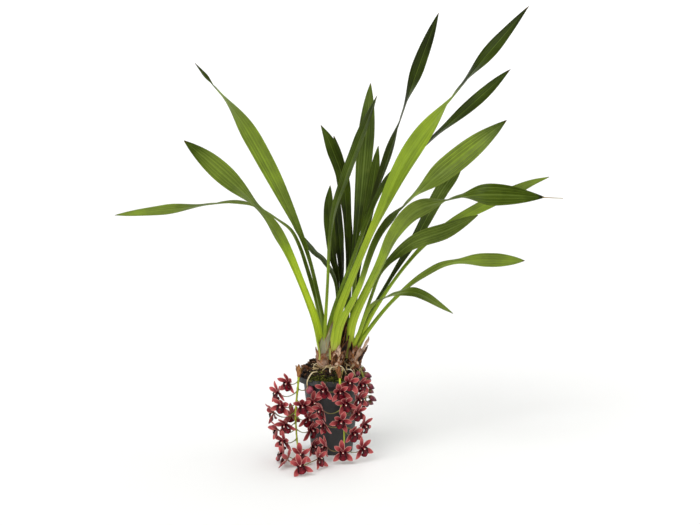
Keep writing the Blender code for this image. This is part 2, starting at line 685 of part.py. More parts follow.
def add_root():
    """One pale aerial root that lies over the rim."""
    clear = ROOT_RADIUS + GAP * 3
    route = (
        polar(crown_radius() - 0.012, ROOT_AZIMUTH + 3, crown_height() + clear),
        polar(crown_radius(), ROOT_AZIMUTH + 1, crown_height() + clear),
        polar(RIM_RADIUS - 0.003, ROOT_AZIMUTH, POT_HEIGHT + clear + 0.003),
        polar(RIM_RADIUS + clear + 0.001, ROOT_AZIMUTH, POT_HEIGHT - 0.004),
        polar(RIM_RADIUS + clear + 0.001, ROOT_AZIMUTH + 1, POT_HEIGHT - ROOT_DROP),
    )
    bm = tube("aerial_root", smooth_curve(route), 8, 0.005, ROOT_RADIUS, ROOT_RADIUS * 0.7)
    return add_object(
        "aerial_root", mesh_of("aerial_root", bm), finish("root_cream", (0.55, 0.5, 0.38), 0.8)
    )


def main():
    clear_scene()
    add_pot()
    add_potting_mix()
    add_moss()
    add_root()
    for name, growth in GROWTHS.items():
        add_growth("growth_" + name, growth)
        add_leaves(name, growth)
    colours = {
        "stem": finish("stem_lime", (0.42, 0.50, 0.07), 0.5),
        "flower": finish("flower_brick", (0.42, 0.07, 0.07), 0.45),
    }
    shape = flower_mesh()
    add_spike("spike_left", left_route(), LEFT_FLOWERS, LEFT_JOINED, (LONE_BUD,), shape, colours)
    add_spike("spike_right", right_route(), RIGHT_FLOWERS, RIGHT_JOINED, (), shape, colours)
    add_spike("spike_buds", bud_route(), (), (), BUDS, shape, colours)


main()
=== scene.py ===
"""A pendulous orchid in its growing pot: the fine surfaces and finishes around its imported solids.

Metres, +Z up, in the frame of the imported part: the origin is on the pot's axis, on the face it stands on,
and the front faces -Y. Every piece is a surface worked out on a grid of rows and columns.
"""

import json
import math
from collections import namedtuple

import bmesh
import bpy
import numpy as np
from bpy.props import FloatProperty, FloatVectorProperty, IntProperty, PointerProperty
from mathutils import Matrix, Vector

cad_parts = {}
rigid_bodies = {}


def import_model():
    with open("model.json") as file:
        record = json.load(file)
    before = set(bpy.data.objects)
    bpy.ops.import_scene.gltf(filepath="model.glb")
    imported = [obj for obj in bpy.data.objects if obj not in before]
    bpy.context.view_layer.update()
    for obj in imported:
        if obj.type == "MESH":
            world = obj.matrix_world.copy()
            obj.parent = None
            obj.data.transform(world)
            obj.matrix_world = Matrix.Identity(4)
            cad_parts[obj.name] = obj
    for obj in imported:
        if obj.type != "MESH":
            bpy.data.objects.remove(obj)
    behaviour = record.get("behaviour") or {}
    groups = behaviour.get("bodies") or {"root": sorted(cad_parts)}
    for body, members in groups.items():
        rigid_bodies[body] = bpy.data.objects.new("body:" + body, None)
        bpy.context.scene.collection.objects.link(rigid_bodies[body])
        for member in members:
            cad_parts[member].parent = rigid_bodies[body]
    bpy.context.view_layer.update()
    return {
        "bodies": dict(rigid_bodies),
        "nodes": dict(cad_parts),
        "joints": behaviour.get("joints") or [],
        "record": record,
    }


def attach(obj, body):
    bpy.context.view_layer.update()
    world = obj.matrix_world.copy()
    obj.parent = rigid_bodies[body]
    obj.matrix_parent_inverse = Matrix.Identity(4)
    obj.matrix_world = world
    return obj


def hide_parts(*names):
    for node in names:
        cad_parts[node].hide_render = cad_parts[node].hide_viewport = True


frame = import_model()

bl_info = {
    "name": "Potted Orchid",
    "version": (1, 0, 0),
    "blender": (4, 5, 0),
    "location": "3D View > Sidebar > Orchid",
    "description": "Makes a pendulous orchid in its growing pot, piece by piece",
    "category": "Add Mesh",
}

# ---- Sizes that the pieces share with the solids -------------------------------------------------

GAP = 0.0003
POT_HEIGHT = 0.160
RIM_RADIUS = 0.070
COLLAR_HEIGHT = 0.0115
BODY_TOP_RADIUS = 0.0575
BASE_RADIUS = 0.042
POT_WALL = 0.0018
POT_FLOOR = 0.0035
DRAIN_COUNT = 8
DRAIN_HEIGHT = 0.006
DRAIN_INNER_RADIUS = 0.032
CROWN_HEIGHT = 0.170
CROWN_RADIUS = 0.059
LEDGE_HEIGHT = 0.155
LEDGE_INNER = 0.0605
MOSS_FROM = 236.0
MOSS_TO = 275.0
GROWTH_HEIGHT = 0.038
GROWTH_RADII = ((0.0, 0.0085), (0.35, 0.0115), (0.65, 0.0109), (1.0, 0.0095))
LEAF_PITCH = 0.0036
LEAF_TIP_WIDTH = 0.0012
STALK_SHARE = 0.30
STEM_RADIUS = 0.0022
STEM_TIP_RADIUS = 0.0013
STEM_RISE = 0.007
RIM_CLEARANCE = 0.008
RIM_LIFT = 0.012
FLOOR_CLEARANCE = 0.0035
SEPAL = 0.020  # the unit of a flower's reach and rise
BUD_SPIKE_AZIMUTH = -34
BUD_SPIKE_DROP = 0.050
ROOT_RADIUS = 0.0016
ROOT_AZIMUTH = 229.0
ROOT_DROP = 0.018

OLD_TONE = 1.1  # scales of a greater tone are the feet of old leaves
MAJOR_VEIN_RATE = 43.9824  # radians over a leaf's width: seven great veins

Growth = namedtuple("Growth", "x y leaves")
Leaf = namedtuple("Leaf", "width foot stalk widest tones rolls route tail")
# share of the spike's length; azimuth, reach and rise from the spike to the flower's back; the way its
# face looks, tilted up, and its turn on its own axis. Angles in degrees, lengths in sepals.
Flower = namedtuple("Flower", "share azimuth reach rise look tilt spin")


def leaf(widths, widest, tones, rolls, route, tail=1.0):
    """A leaf from its widths in millimetres, unrolled: of the blade, the sheathing foot and the stalk; the
    share of its length where it is widest; pairs of a hundredth of its length and a tone in hundredths, from
    0 for the freshest green to 100 for the darkest, and over 130 where it is dry; pairs of a hundredth of its
    length and a roll in degrees; its route in millimetres from the growth's top; and the share where the
    blade closes, with a dry thread beyond. On the back growths the near-black tones low on the leaves are
    painted shade."""
    tones = [(at / 100, tone / 100) for at, tone in tones]
    rolls = [(at / 100, roll) for at, roll in rolls]
    blade, foot, stalk = (width / 1000 for width in widths)
    return Leaf(blade, foot, stalk, widest, tones, rolls, np.array(route) / 1000, tail)


def flowers(*rows):
    """Flowers from rows of their seven values."""
    return tuple(Flower(*row) for row in rows)


GROWTHS = {
    "left": Growth(-0.017, -0.006, (
        leaf((40, 30, 20), 0.8, ((0, 0), (35, 10), (55, 55), (78, 58), (100, 75)), ((0, 125), (25, 120),
             (50, 135), (64, 172), (85, 110), (100, 120)), ((-25, -25, 90), (-80, -85, 240),
             (-130, -115, 315), (-200, -125, 385), (-260, -115, 435))),
        leaf((34, 18, 11), 0.72, ((0, 20), (15, 55), (30, 70), (45, 50), (65, 60), (85, 50), (100, 65)),
             ((0, 180), (25, 120), (48, 190), (58, 205), (70, 180), (84, 145), (100, 140)), ((-15, 13, 95),
             (-50, 10, 215), (-85, 15, 260), (-165, 35, 295), (-300, 55, 280), (-425, 75, 265))),
        leaf((37, 18, 11), 0.68, ((0, 15), (20, 65), (40, 62), (60, 47), (88, 50), (94, 90), (100, 100)),
             ((0, 180), (25, 130), (50, 110), (70, 118), (90, 180), (96, 225), (100, 225)), ((-8, -3, 90),
             (-45, -15, 240), (-145, -5, 440), (-250, 15, 575))),
        leaf((36, 15, 10), 0.78, ((0, 10), (30, 35), (50, 75), (100, 85)), ((0, 0), (50, 25), (78, 30),
             (100, 25)), ((9, -35, 110), (20, -75, 270), (45, -95, 360), (105, -115, 520))),
        leaf((32, 28, 13), 0.85, ((0, 30), (30, 60), (50, 85), (100, 85)), ((0, 0), (40, 40), (70, 10),
             (88, 45), (100, 40)), ((30, -5, 95), (80, 5, 235), (115, 15, 320), (155, 25, 370),
             (300, 55, 493), (375, 75, 560))),
    )),
    "middle": Growth(0.012, -0.018, (
        leaf((44, 34, 22), 0.68, ((0, 3), (30, 14), (50, 30), (70, 34), (77, 85), (100, 95)), ((0, -40),
             (30, -50), (52, -85), (75, 0), (89, 52), (100, 50)), ((3, 2, 60), (30, -20, 145), (80, -50, 275),
             (140, -60, 405), (245, -40, 540), (370, 0, 685))),
        leaf((44, 30, 19), 0.78, ((0, 5), (25, 25), (40, 80), (56, 80), (64, 50), (85, 50), (100, 85)),
             ((0, -30), (33, -45), (50, -40), (60, 0), (80, 80), (100, 60)), ((12, -20, 60), (45, -60, 140),
             (90, -80, 260), (185, -80, 358), (325, -60, 470))),
    )),
    "right": Growth(0.047, -0.004, (
        leaf((44, 36, 25), 0.74, ((0, 6), (25, 24), (42, 45), (62, 60), (74, 82), (92, 78), (95, 160),
             (100, 160)), ((0, -45), (35, -60), (55, -75), (69, 0), (80, 70), (100, 50)), ((5, -35, 75),
             (50, -95, 190), (75, -125, 255), (110, -155, 303), (165, -175, 327), (245, -185, 340),
             (390, -155, 330)), 0.945),
        leaf((26, 18, 13), 0.7, ((0, 10), (30, 35), (55, 60), (75, 72), (100, 66)), ((0, 0), (40, -35),
             (60, 0), (75, 35), (100, 35)), ((10, -22, 40), (30, -70, 100), (60, -105, 130), (115, -145, 147),
             (185, -175, 113))),
        leaf((36, 16, 11), 0.74, ((0, 10), (30, 50), (50, 75), (68, 64), (100, 70)), ((0, 0), (45, 30),
             (75, 60), (100, 45)), ((35, 20, 108), (60, 30, 163), (115, 32, 213), (185, 18, 242),
             (245, 5, 275))),
        leaf((30, 16, 11), 0.75, ((0, 10), (50, 42), (75, 52), (100, 55)), ((0, 0), (50, 30), (80, 45),
             (100, 40)), ((40, 20, 75), (105, 50, 165), (190, 75, 242), (340, 110, 316), (400, 120, 338))),
        leaf((34, 18, 12), 0.84, ((0, 10), (25, 38), (50, 58), (68, 44), (100, 50)), ((0, 0), (50, 30),
             (68, 10), (82, 42), (100, 40)), ((27, -10, 40), (75, -30, 106), (135, -50, 162), (200, -65, 193),
             (330, -75, 197))),
    )),
    # painted shade: these back leaves are darkest, near black, about a third of the way up, for the shade in
    # the plant's heart
    "back_right": Growth(0.04, 0.03, (
        leaf((36, 16, 13), 0.75, ((0, 60), (30, 98), (60, 78), (100, 72)), ((0, 0), (50, 70), (100, 75)),
             ((-4, 22, 95), (20, 100, 295), (40, 170, 525))),
        leaf((34, 16, 13), 0.8, ((0, 40), (30, 90), (50, 97), (70, 92), (100, 100)), ((0, 0), (40, -40),
             (56, -45), (70, 0), (84, 50), (100, 50)), ((6, -6, 105), (17, 3, 205), (60, 20, 347),
             (125, 55, 533), (175, 70, 671))),
        leaf((28, 14, 11), 0.75, ((0, 60), (40, 98), (75, 80), (100, 72)), ((0, 0), (50, 50), (100, 60)),
             ((14, 22, 130), (26, 45, 220), (42, 65, 309), (55, 85, 402))),
        leaf((32, 16, 12), 0.85, ((0, 60), (40, 100), (75, 72), (100, 72)), ((0, 0), (50, 50), (90, 60),
             (100, 50)), ((35, 20, 56), (90, 70, 140), (135, 105, 207), (190, 150, 300), (235, 180, 353))),
    )),
    # painted shade here too: near black about a third of the way up, for the shade in the plant's heart
    "back_left": Growth(0.016, 0.034, (
        leaf((22, 13, 9), 0.75, ((0, 50), (40, 90), (100, 85)), ((0, 0), (50, 40), (100, 40)), ((-5, 16, 120),
             (-30, 40, 169), (-55, 60, 189), (-97, 96, 232))),
        leaf((28, 14, 11), 0.75, ((0, 70), (35, 105), (70, 90), (100, 85)), ((0, 0), (50, 50), (100, 60)),
             ((-3, 20, 130), (-15, 45, 190), (-22, 70, 271), (-20, 85, 320))),
        leaf((26, 14, 11), 0.75, ((0, 70), (35, 105), (70, 95), (100, 90)), ((0, 0), (50, 50), (100, 60)),
             ((5, 46, 129), (0, 76, 202), (-6, 106, 270), (-2, 120, 308))),
        leaf((32, 15, 12), 0.82, ((0, 70), (35, 105), (70, 88), (100, 82)), ((0, 180), (50, 130), (90, 125),
             (100, 140)), ((13, 25, 112), (11, 80, 300), (-16, 100, 394), (-39, 110, 442))),
        leaf((28, 14, 11), 0.8, ((0, 70), (35, 105), (70, 95), (100, 90)), ((0, 180), (50, 130), (100, 120)),
             ((19, 45, 108), (19, 95, 206), (3, 150, 326), (-13, 185, 413))),
    )),
}

LEFT_FLOWERS = flowers(
    (0.17, -148, 1.1, 0, -125, 0, 0), (0.24, -165, 1.9, 0, -140, 5, 15), (0.31, -64, 1.45, 0, -85, -5, 8),
    (0.32, -150, 1.6, 0, -110, -5, -15), (0.38, 180, 2.1, -0.1, 172, -5, 0),
    (0.45, -135, 1.3, 0, -115, -10, 25), (0.41, -30, 1.4, 0, -60, -5, -15), (0.5, -170, 1.8, 0, -165, -5, 20),
    (0.57, -150, 1.4, 0, -125, -5, 0), (0.5, -24, 1.55, 0.1, -48, 0, 15), (0.81, -90, 0.4, 0.8, -85, 35, 0),
    (0.8, 178, 1.6, 0.7, -165, 30, 10), (0.91, -5, 1.6, 0.8, -30, 25, -10), (1, -100, 0.7, 0.65, -95, 30, 20),
)
LEFT_JOINED = flowers(
    (0.3, -22, 1.75, 0, -66, 0, 0), (0.42, 115, 0.9, 0, 115, 0, 0), (0.62, -25, 1.6, 0.2, -40, 5, 0),
    (0.92, 178, 1.3, 0.7, 160, 35, 0),
)
RIGHT_FLOWERS = flowers(
    (0.3, -168, 1.5, 0, -115, -5, 0), (0.31, -90, 0.75, 0, -88, 0, 10), (0.24, -28, 0.95, 0.15, -70, 10, -15),
    (0.26, 4, 2, 0, -55, 0, 0), (0.43, -66, 1.05, 0, -80, -5, 20), (0.52, -168, 1.85, 0, -140, -5, 0),
    (0.62, -95, 0.9, 0, -92, -10, -20), (0.68, -172, 1.8, 0, -150, -10, 15),
    (0.545, -15, 1.55, 0, -62, -5, 0), (0.7, 0, 1.9, 0, -45, -5, 20), (1, -95, 0.75, 0.3, -90, 15, 0),
    (0.94, -170, 1.7, 0.15, -152, 10, 0), (0.95, -8, 1.8, 0.1, -58, 10, 10),
)
RIGHT_JOINED = flowers(
    (0.41, 0, 1.7, 0, -48, 0, 0), (0.55, 20, 1, 0, 10, 0, 0), (0.76, -42, 1.15, 0, -62, 0, 0),
)
BUD_TURNS = (75, -75, 0, 50, -50, 75, -75, 0, 50, -50, 75, -75, 0, 50, -50, 75, -75)
BUDS = tuple(
    Flower(0.19 + 0.05 * i, BUD_SPIKE_AZIMUTH + turn, 0.4, -0.15, BUD_SPIKE_AZIMUTH + turn, -30, 0)
    for i, turn in enumerate(BUD_TURNS)
)
LONE_BUD = Flower(0.22, -15, 0.9, 0, -35, -10, 0)

# ---- Curves and grids ----------------------------------------------------------------------------

MERGE_WITHIN = 1e-6  # points nearer than this are one

# points (..., rows, columns, 3); uv (..., rows, columns, 2); tone and side are one number for each point;
# paint is the slot of the grid's material
Grid = namedtuple("Grid", "points uv tone side paint")


def polar(radius, azimuth, height):
    """A point from its distance to the axis, its azimuth in degrees and its height."""
    angle = math.radians(azimuth)
    return np.array([radius * math.cos(angle), radius * math.sin(angle), height])


def unit(vectors):
    """Vectors divided by their lengths."""
    return vectors / np.maximum(np.linalg.norm(vectors, axis=-1, keepdims=True), 1e-12)


def smooth_curve(points, fine=48):
    """A function from shares of the length to points: a Catmull-Rom curve through the points."""
    pts = np.array([tuple(p) for p in points], float)
    ends = np.vstack([2 * pts[0] - pts[1], pts, 2 * pts[-1] - pts[-2]])
    a, b, c, d = (ends[i : len(pts) - 1 + i, None] for i in range(4))
    t = np.linspace(0, 1, fine, endpoint=False)[None, :, None]
    curve = 0.5 * (2 * b + (c - a) * t + (2 * a - 5 * b + 4 * c - d) * t**2
                   + (3 * b - a - 3 * c + d) * t**3)
    curve = np.vstack([curve.reshape(-1, 3), pts[-1:]])
    run = np.concatenate([[0], np.cumsum(np.linalg.norm(np.diff(curve, axis=0), axis=1))])

    def at(share):
        place = np.asarray(share, float) * run[-1]
        return np.stack([np.interp(place, run, curve[:, k]) for k in range(3)], axis=-1)

    at.length = float(run[-1])
    return at


def bezier(begin, pull, push, end, rows):
    """The cubic through four points: begin and end are on it, pull and push lead it."""
    t = np.linspace(0, 1, rows)[:, None]
    s = 1 - t
    return begin * s**3 + pull * (3 * s * s * t) + push * (3 * s * t * t) + end * t**3


def eased(pairs, share):
    """Values read between (share, value) pairs with a smooth step, as an array."""
    at, value = np.array(pairs, float).T
    k = np.clip(np.searchsorted(at, share, side="right") - 1, 0, len(at) - 2)
    t = np.clip((share - at[k]) / (at[k + 1] - at[k]), 0, 1)
    return value[k] + (value[k + 1] - value[k]) * t * t * (3 - 2 * t)


def lumps(x, y, size, seed):
    """A smooth bumpy field around 0: twice the mean of nine plane waves of about that size."""
    rng = np.random.default_rng(seed)
    angle = rng.uniform(0, 2 * math.pi, 9)
    rate = 2 * math.pi / (size * rng.uniform(0.6, 1.5, 9))
    phase = rng.uniform(0, 2 * math.pi, 9)
    wave = np.asarray(x)[..., None] * np.cos(angle) + np.asarray(y)[..., None] * np.sin(angle)
    return np.sin(wave * rate + phase).mean(axis=-1) * 2


def lattice(rows, columns):
    """Numbers from 0 to 1 down the rows, as a column, and from -1 to 1 across them, as a row."""
    return np.linspace(0, 1, rows)[:, None], np.linspace(-1, 1, columns)[None, :]


def spread(value, like):
    """One number or array made as large as a grid."""
    return np.broadcast_to(np.asarray(value, float), like).copy()


def sheet(points, thick, across, along, tone=0.0, paint=0):
    """A thin closed body around a grid of points: each point moved half the thickness both ways along
    the surface's normal, the two sides joined at the margins and drawn together at both ends."""
    shape = points.shape[:2]
    normal = unit(np.cross(np.gradient(points, axis=0), np.gradient(points, axis=1)))
    half = spread(thick, shape)[..., None] / 2
    ring = np.concatenate([points + normal * half, (points - normal * half)[:, ::-1]], axis=1)
    ends = [np.concatenate([points[[k]], points[[k]][:, ::-1]], axis=1) for k in (0, -1)]
    ring = np.concatenate([ends[0], ring, ends[1]])
    ring = np.concatenate([ring, ring[:, :1]], axis=1)

    def around(values):
        values = spread(values, shape)
        both = np.concatenate([values, values[:, ::-1], values[:, :1]], axis=1)
        return np.concatenate([both[:1], both, both[-1:]])

    side = np.concatenate([np.zeros(shape[1]), np.ones(shape[1]), np.zeros(1)])
    uv = np.stack([around(across), around(along)], axis=-1)
    return Grid(ring, uv, around(tone), spread(side, ring.shape[:2]), paint)


def round_grid(ring, turn, v, tone, paint):
    """The grid of a body that goes once around in each row: turn is the angle, v the place along."""
    uv = np.stack(np.broadcast_arrays(turn[None] / (2 * math.pi), v[:, None]), axis=-1)
    shape = ring.shape[:2]
    return Grid(ring, uv, spread(tone, shape), np.zeros(shape), paint)


def tube(path, radius, sides, tone=0.0, paint=0, ribs=0, rib_depth=0.0):
    """A closed tube: a circle, or one with ribs, carried along a path and drawn to a point at both ends."""
    rows = len(path)
    along = unit(np.gradient(path, axis=0))
    guides = np.eye(3)
    guide = guides[np.argmin(np.abs(along @ guides).max(axis=0))]
    first = unit(guide - (along @ guide)[:, None] * along)
    second = np.cross(along, first)
    turn = np.linspace(0, 2 * math.pi, sides + 1)
    size = spread(radius, rows)[:, None] * (1 + rib_depth * np.cos(ribs * turn))[None, :]
    ring = path[:, None] + (first[:, None] * np.cos(turn)[None, :, None]
                            + second[:, None] * np.sin(turn)[None, :, None]) * size[..., None]
    caps = [np.repeat(path[k][None, None], sides + 1, axis=1) for k in (0, -1)]
    ring = np.concatenate([caps[0], ring, caps[1]])
    v = np.concatenate([[0], np.linspace(0, 1, rows), [1]])
    tones = spread(tone, rows)[:, None]
    return round_grid(ring, turn, v, np.concatenate([tones[:1], tones, tones[-1:]]), paint)


def turned(profile, columns, tone=0.0, paint=0, shift=None):
    """A body of revolution about +Z through profile points (radius, height); shift moves its points."""
    profile = np.asarray(profile, float)
    turn = np.linspace(0, 2 * math.pi, columns + 1)
    ring = np.stack([profile[:, :1] * np.cos(turn), profile[:, :1] * np.sin(turn),
                     np.repeat(profile[:, 1:], columns + 1, axis=1)], axis=-1)
    ring[:, -1] = ring[:, 0]
    if shift is not None:
        ring = shift(ring)
    return round_grid(ring, turn, np.linspace(0, 1, len(profile)), tone, paint)


def moved(grid, matrix):
    """The grid turned and placed by a 4 by 4 matrix."""
    matrix = np.array(matrix, float)
    return grid._replace(points=grid.points @ matrix[:3, :3].T + matrix[:3, 3])


def scattered(shape, places, turns, sizes, tones):
    """Copies of one small grid: each stretched by its sizes, turned by its 3 by 3 matrix and placed."""
    points = np.einsum("kij,krcj->krci", turns, shape.points[None] * sizes[:, None, None, :])
    points = points + places[:, None, None, :]
    count = (len(places), *shape.tone.shape)
    uv = np.broadcast_to(shape.uv, (*count, 2)).copy()
    return Grid(points, uv, spread(tones[:, None, None], count), spread(shape.side, count), 0)


def turns_of(heading, tilt, roll):
    """Rotation matrices, one for each copy: roll about X, then tilt about Y, then heading about Z."""
    zero, one = np.zeros_like(heading), np.ones_like(heading)

    def stacked(*rows):
        return np.stack([np.stack(row, axis=-1) for row in rows], axis=-2)

    ch, sh, ct, st, cr, sr = (f(a) for a in (heading, tilt, roll) for f in (np.cos, np.sin))
    about_z = stacked((ch, -sh, zero), (sh, ch, zero), (zero, zero, one))
    about_y = stacked((ct, zero, st), (zero, one, zero), (-st, zero, ct))
    about_x = stacked((one, zero, zero), (zero, cr, -sr), (zero, sr, cr))
    return about_z @ about_y @ about_x


def linked(name, data):
    """A new object in the scene."""
    made = bpy.data.objects.new(name, data)
    bpy.context.scene.collection.objects.link(made)
    return made


def make_piece(name, grids, materials, node, sharp=60):
    """One mesh object from grids: cells become faces, seams and poles are merged, normals point outwards, and
    edges turned by more than sharp degrees are sharp."""
    corners, paints, offset = [], [], 0
    for grid in grids:
        index = np.arange(grid.tone.size).reshape(-1, *grid.tone.shape[-2:]) + offset
        cells = (index[:, :-1, :-1], index[:, :-1, 1:], index[:, 1:, 1:], index[:, 1:, :-1])
        corners.append(np.stack(cells, -1).reshape(-1, 4))
        paints.append(np.full(len(corners[-1]), grid.paint))
        offset += grid.tone.size
    corners = np.concatenate(corners)

    def joined(label, size):
        return np.concatenate([getattr(grid, label).reshape(-1, size) for grid in grids]).astype(np.float32)

    mesh = bpy.data.meshes.new(name)
    mesh.vertices.add(offset)
    mesh.vertices.foreach_set("co", joined("points", 3).ravel())
    mesh.loops.add(corners.size)
    mesh.loops.foreach_set("vertex_index", corners.astype(np.int32).ravel())
    mesh.polygons.add(len(corners))
    mesh.polygons.foreach_set("loop_start", np.arange(0, corners.size, 4, dtype=np.int32))
    mesh.polygons.foreach_set("material_index", np.concatenate(paints).astype(np.int32))
    mesh.update(calc_edges=True)
    layer = mesh.uv_layers.new(name="surface")
    layer.data.foreach_set("uv", joined("uv", 2)[corners.ravel()].ravel())
    for label in ("tone", "side"):
        mesh.attributes.new(label, "FLOAT", "POINT").data.foreach_set("value", joined(label, 1).ravel())
    bm = bmesh.new()
    bm.from_mesh(mesh)
    bmesh.ops.remove_doubles(bm, verts=bm.verts, dist=MERGE_WITHIN)
    bmesh.ops.dissolve_degenerate(bm, edges=bm.edges, dist=MERGE_WITHIN / 10)
    bmesh.ops.recalc_face_normals(bm, faces=bm.faces)
    bm.to_mesh(mesh)
    bm.free()
    for material in materials:
        mesh.materials.append(material)
    mesh.shade_smooth()
    mesh.set_sharp_from_angle(angle=math.radians(sharp))
    made = linked(name, mesh)
    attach(made, "root")
    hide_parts(node)


# ---- Finishes ------------------------------------------------------------------------------------


def colour(text):
    """A linear colour from six hexadecimal digits."""
    channels = [int(text[i : i + 2], 16) / 255 for i in (0, 2, 4)]
    return tuple(c / 12.92 if c <= 0.04045 else ((c + 0.055) / 1.055) ** 2.4 for c in channels)


class Finish:
    """A Principled material, with short ways to add the nodes that vary it."""

    def __init__(self, name, **constants):
        self.made = bpy.data.materials.new(name)
        self.made.use_nodes = True
        self.nodes = self.made.node_tree.nodes
        self.links = self.made.node_tree.links
        self.shader = self.nodes["Principled BSDF"]
        for label, value in constants.items():
            self.set(label.replace("_", " ").title().replace("Ior", "IOR"), value)

    def put(self, socket, value):
        """Link a socket's value, or set it: a number, a vector or a colour."""
        if isinstance(value, str):
            value = colour(value)
        if isinstance(value, bpy.types.NodeSocket):
            self.links.new(value, socket)
        elif hasattr(value, "__len__") and len(value) == 3 and len(socket.default_value) == 4:
            socket.default_value = (*value, 1.0)
        else:
            socket.default_value = value

    def set(self, label, value):
        self.put(self.shader.inputs[label], value)

    def add(self, kind, output, inputs, **settings):
        """A new node with its inputs and settings; the output is returned."""
        node = self.nodes.new("ShaderNode" + kind)
        for label, value in settings.items():
            setattr(node, label, value)
        for label, value in inputs.items():
            self.put(node.inputs[label], value)
        return node.outputs[output]

    def mark(self, label):
        """A number that the mesh carries at each point."""
        return self.add("Attribute", "Fac", {}, attribute_name=label)

    def surface(self, scale=(1, 1, 1)):
        """The place on the surface, across and along, stretched by scale."""
        uv = self.add("UVMap", "UV", {}, uv_map="surface")
        return self.add("Mapping", "Vector", {"Vector": uv, "Scale": scale})

    def across(self):
        return self.add("SeparateXYZ", "X", {"Vector": self.surface()})

    def along(self):
        return self.add("SeparateXYZ", "Y", {"Vector": self.surface()})

    def noise(self, scale, vector=None, detail=3.0, rough=0.55):
        """Noise over the object's own coordinates, or over the vector."""
        vector = vector or self.add("TexCoord", "Object", {})
        inputs = {"Vector": vector, "Scale": scale, "Detail": detail, "Roughness": rough}
        return self.add("TexNoise", "Fac", inputs)

    def fibres(self, across, along, detail=3.0, rough=0.55):
        """Noise drawn out into fibres: how often it changes across and along the surface."""
        return self.noise(1.0, self.surface((across, along, 1)), detail, rough)

    def maths(self, operation, a, b=0.0):
        return self.add("Math", 0, {0: a, 1: b}, operation=operation)

    def times(self, a, b):
        return self.maths("MULTIPLY", a, b)

    def between(self, value, low, high, start=0.0, end=1.0):
        """value read from low..high onto start..end, and held at the ends."""
        inputs = {"Value": value, "From Min": low, "From Max": high, "To Min": start, "To Max": end}
        return self.add("MapRange", "Result", inputs)

    def varied(self, value, noise, start, end=None, low=0.3, high=0.7):
        """value with noise added to it: from -start to start, or from start to end."""
        start, end = (-start, start) if end is None else (start, end)
        return self.maths("ADD", value, self.between(noise, low, high, start, end))

    def from_rib(self):
        """How far a point is from the surface's middle line: 0 on it and 0.5 at the margins."""
        return self.maths("ABSOLUTE", self.maths("SUBTRACT", self.across(), 0.5))

    def ramp(self, value, *stops):
        """A colour read between (position, colour) stops."""
        node = self.nodes.new("ShaderNodeValToRGB")
        elements = node.color_ramp.elements
        while len(elements) < len(stops):
            elements.new(0.5)
        for element, (position, shade) in zip(elements, stops):
            element.position = position
            element.color = (*(colour(shade) if isinstance(shade, str) else shade), 1.0)
        self.put(node.inputs["Fac"], value)
        return node.outputs["Color"]

    def mix(self, share, a, b):
        """Colour a, with the share of b laid over it."""
        node = self.nodes.new("ShaderNodeMix")
        node.data_type = "RGBA"
        for k, value in ((0, share), (6, a), (7, b)):
            self.put(node.inputs[k], value)
        return node.outputs[2]

    def done(self, body, height=None, distance=0.0, strength=1.0):
        """The material with its base colour and, where a height is given, a bump."""
        self.set("Base Color", body)
        if height:
            inputs = {"Height": height, "Distance": distance, "Strength": strength}
            self.set("Normal", self.add("Bump", "Normal", inputs))
        return self.made


def pot_finish(settings):
    """Dark recycled plastic: faint cloudy flow marks, fine speckle and a dry, dusty gloss."""
    made = Finish("pot_plastic", specular_ior_level=0.4)
    cloud, speckle = made.noise(18, detail=4), made.noise(1400, detail=1)
    body = made.mix(made.between(cloud, 0.35, 0.7), settings.colour, settings.dust)
    body = made.mix(made.between(speckle, 0.62, 0.75, 0, 0.35), body, "5a5c58")
    made.set("Roughness", made.between(cloud, 0.3, 0.7, 0.46, 0.62))
    return made.done(body, speckle, 0.00012, 0.5)


def bark_finish():
    """Composted bark: each chip has its own brown, with torn fibres and darker pores."""
    made = Finish("bark_mix", specular_ior_level=0.25)
    grain = made.noise(160, detail=6, rough=0.7)
    body = made.ramp(made.varied(made.mark("tone"), grain, 0.22), (0.0, "120b07"), (0.3, "2a1a10"),
                     (0.55, "4a301d"), (0.8, "6f4d30"), (1.0, "94714c"))
    made.set("Roughness", made.between(grain, 0.3, 0.7, 0.75, 0.95))
    return made.done(body, grain, 0.0012, 0.8)


def moss_finish():
    """Living moss: each strand has its own green, yellower at the tips."""
    made = Finish("moss_green", specular_ior_level=0.3, roughness=0.8)
    value = made.varied(made.mark("tone"), made.along(), -0.1, 0.15, 0, 1)
    body = made.ramp(value, (0.0, "171b07"), (0.35, "353c0d"), (0.65, "666c1a"), (1.0, "b3ab4a"))
    return made.done(body, made.noise(900, detail=2), 0.0003, 0.6)


def root_finish():
    """Orchid roots: a spongy cream coat, dirty and brown in patches."""
    made = Finish("root_cream", specular_ior_level=0.25, roughness=0.82)
    value = made.varied(made.mark("tone"), made.noise(70, detail=5, rough=0.65), -0.35, 0.25, 0.35, 0.65)
    body = made.ramp(value, (0.0, "4d3826"), (0.35, "92764f"), (0.65, "cdb88c"), (1.0, "ece2c8"))
    return made.done(body, made.noise(600, detail=3), 0.0004, 0.5)


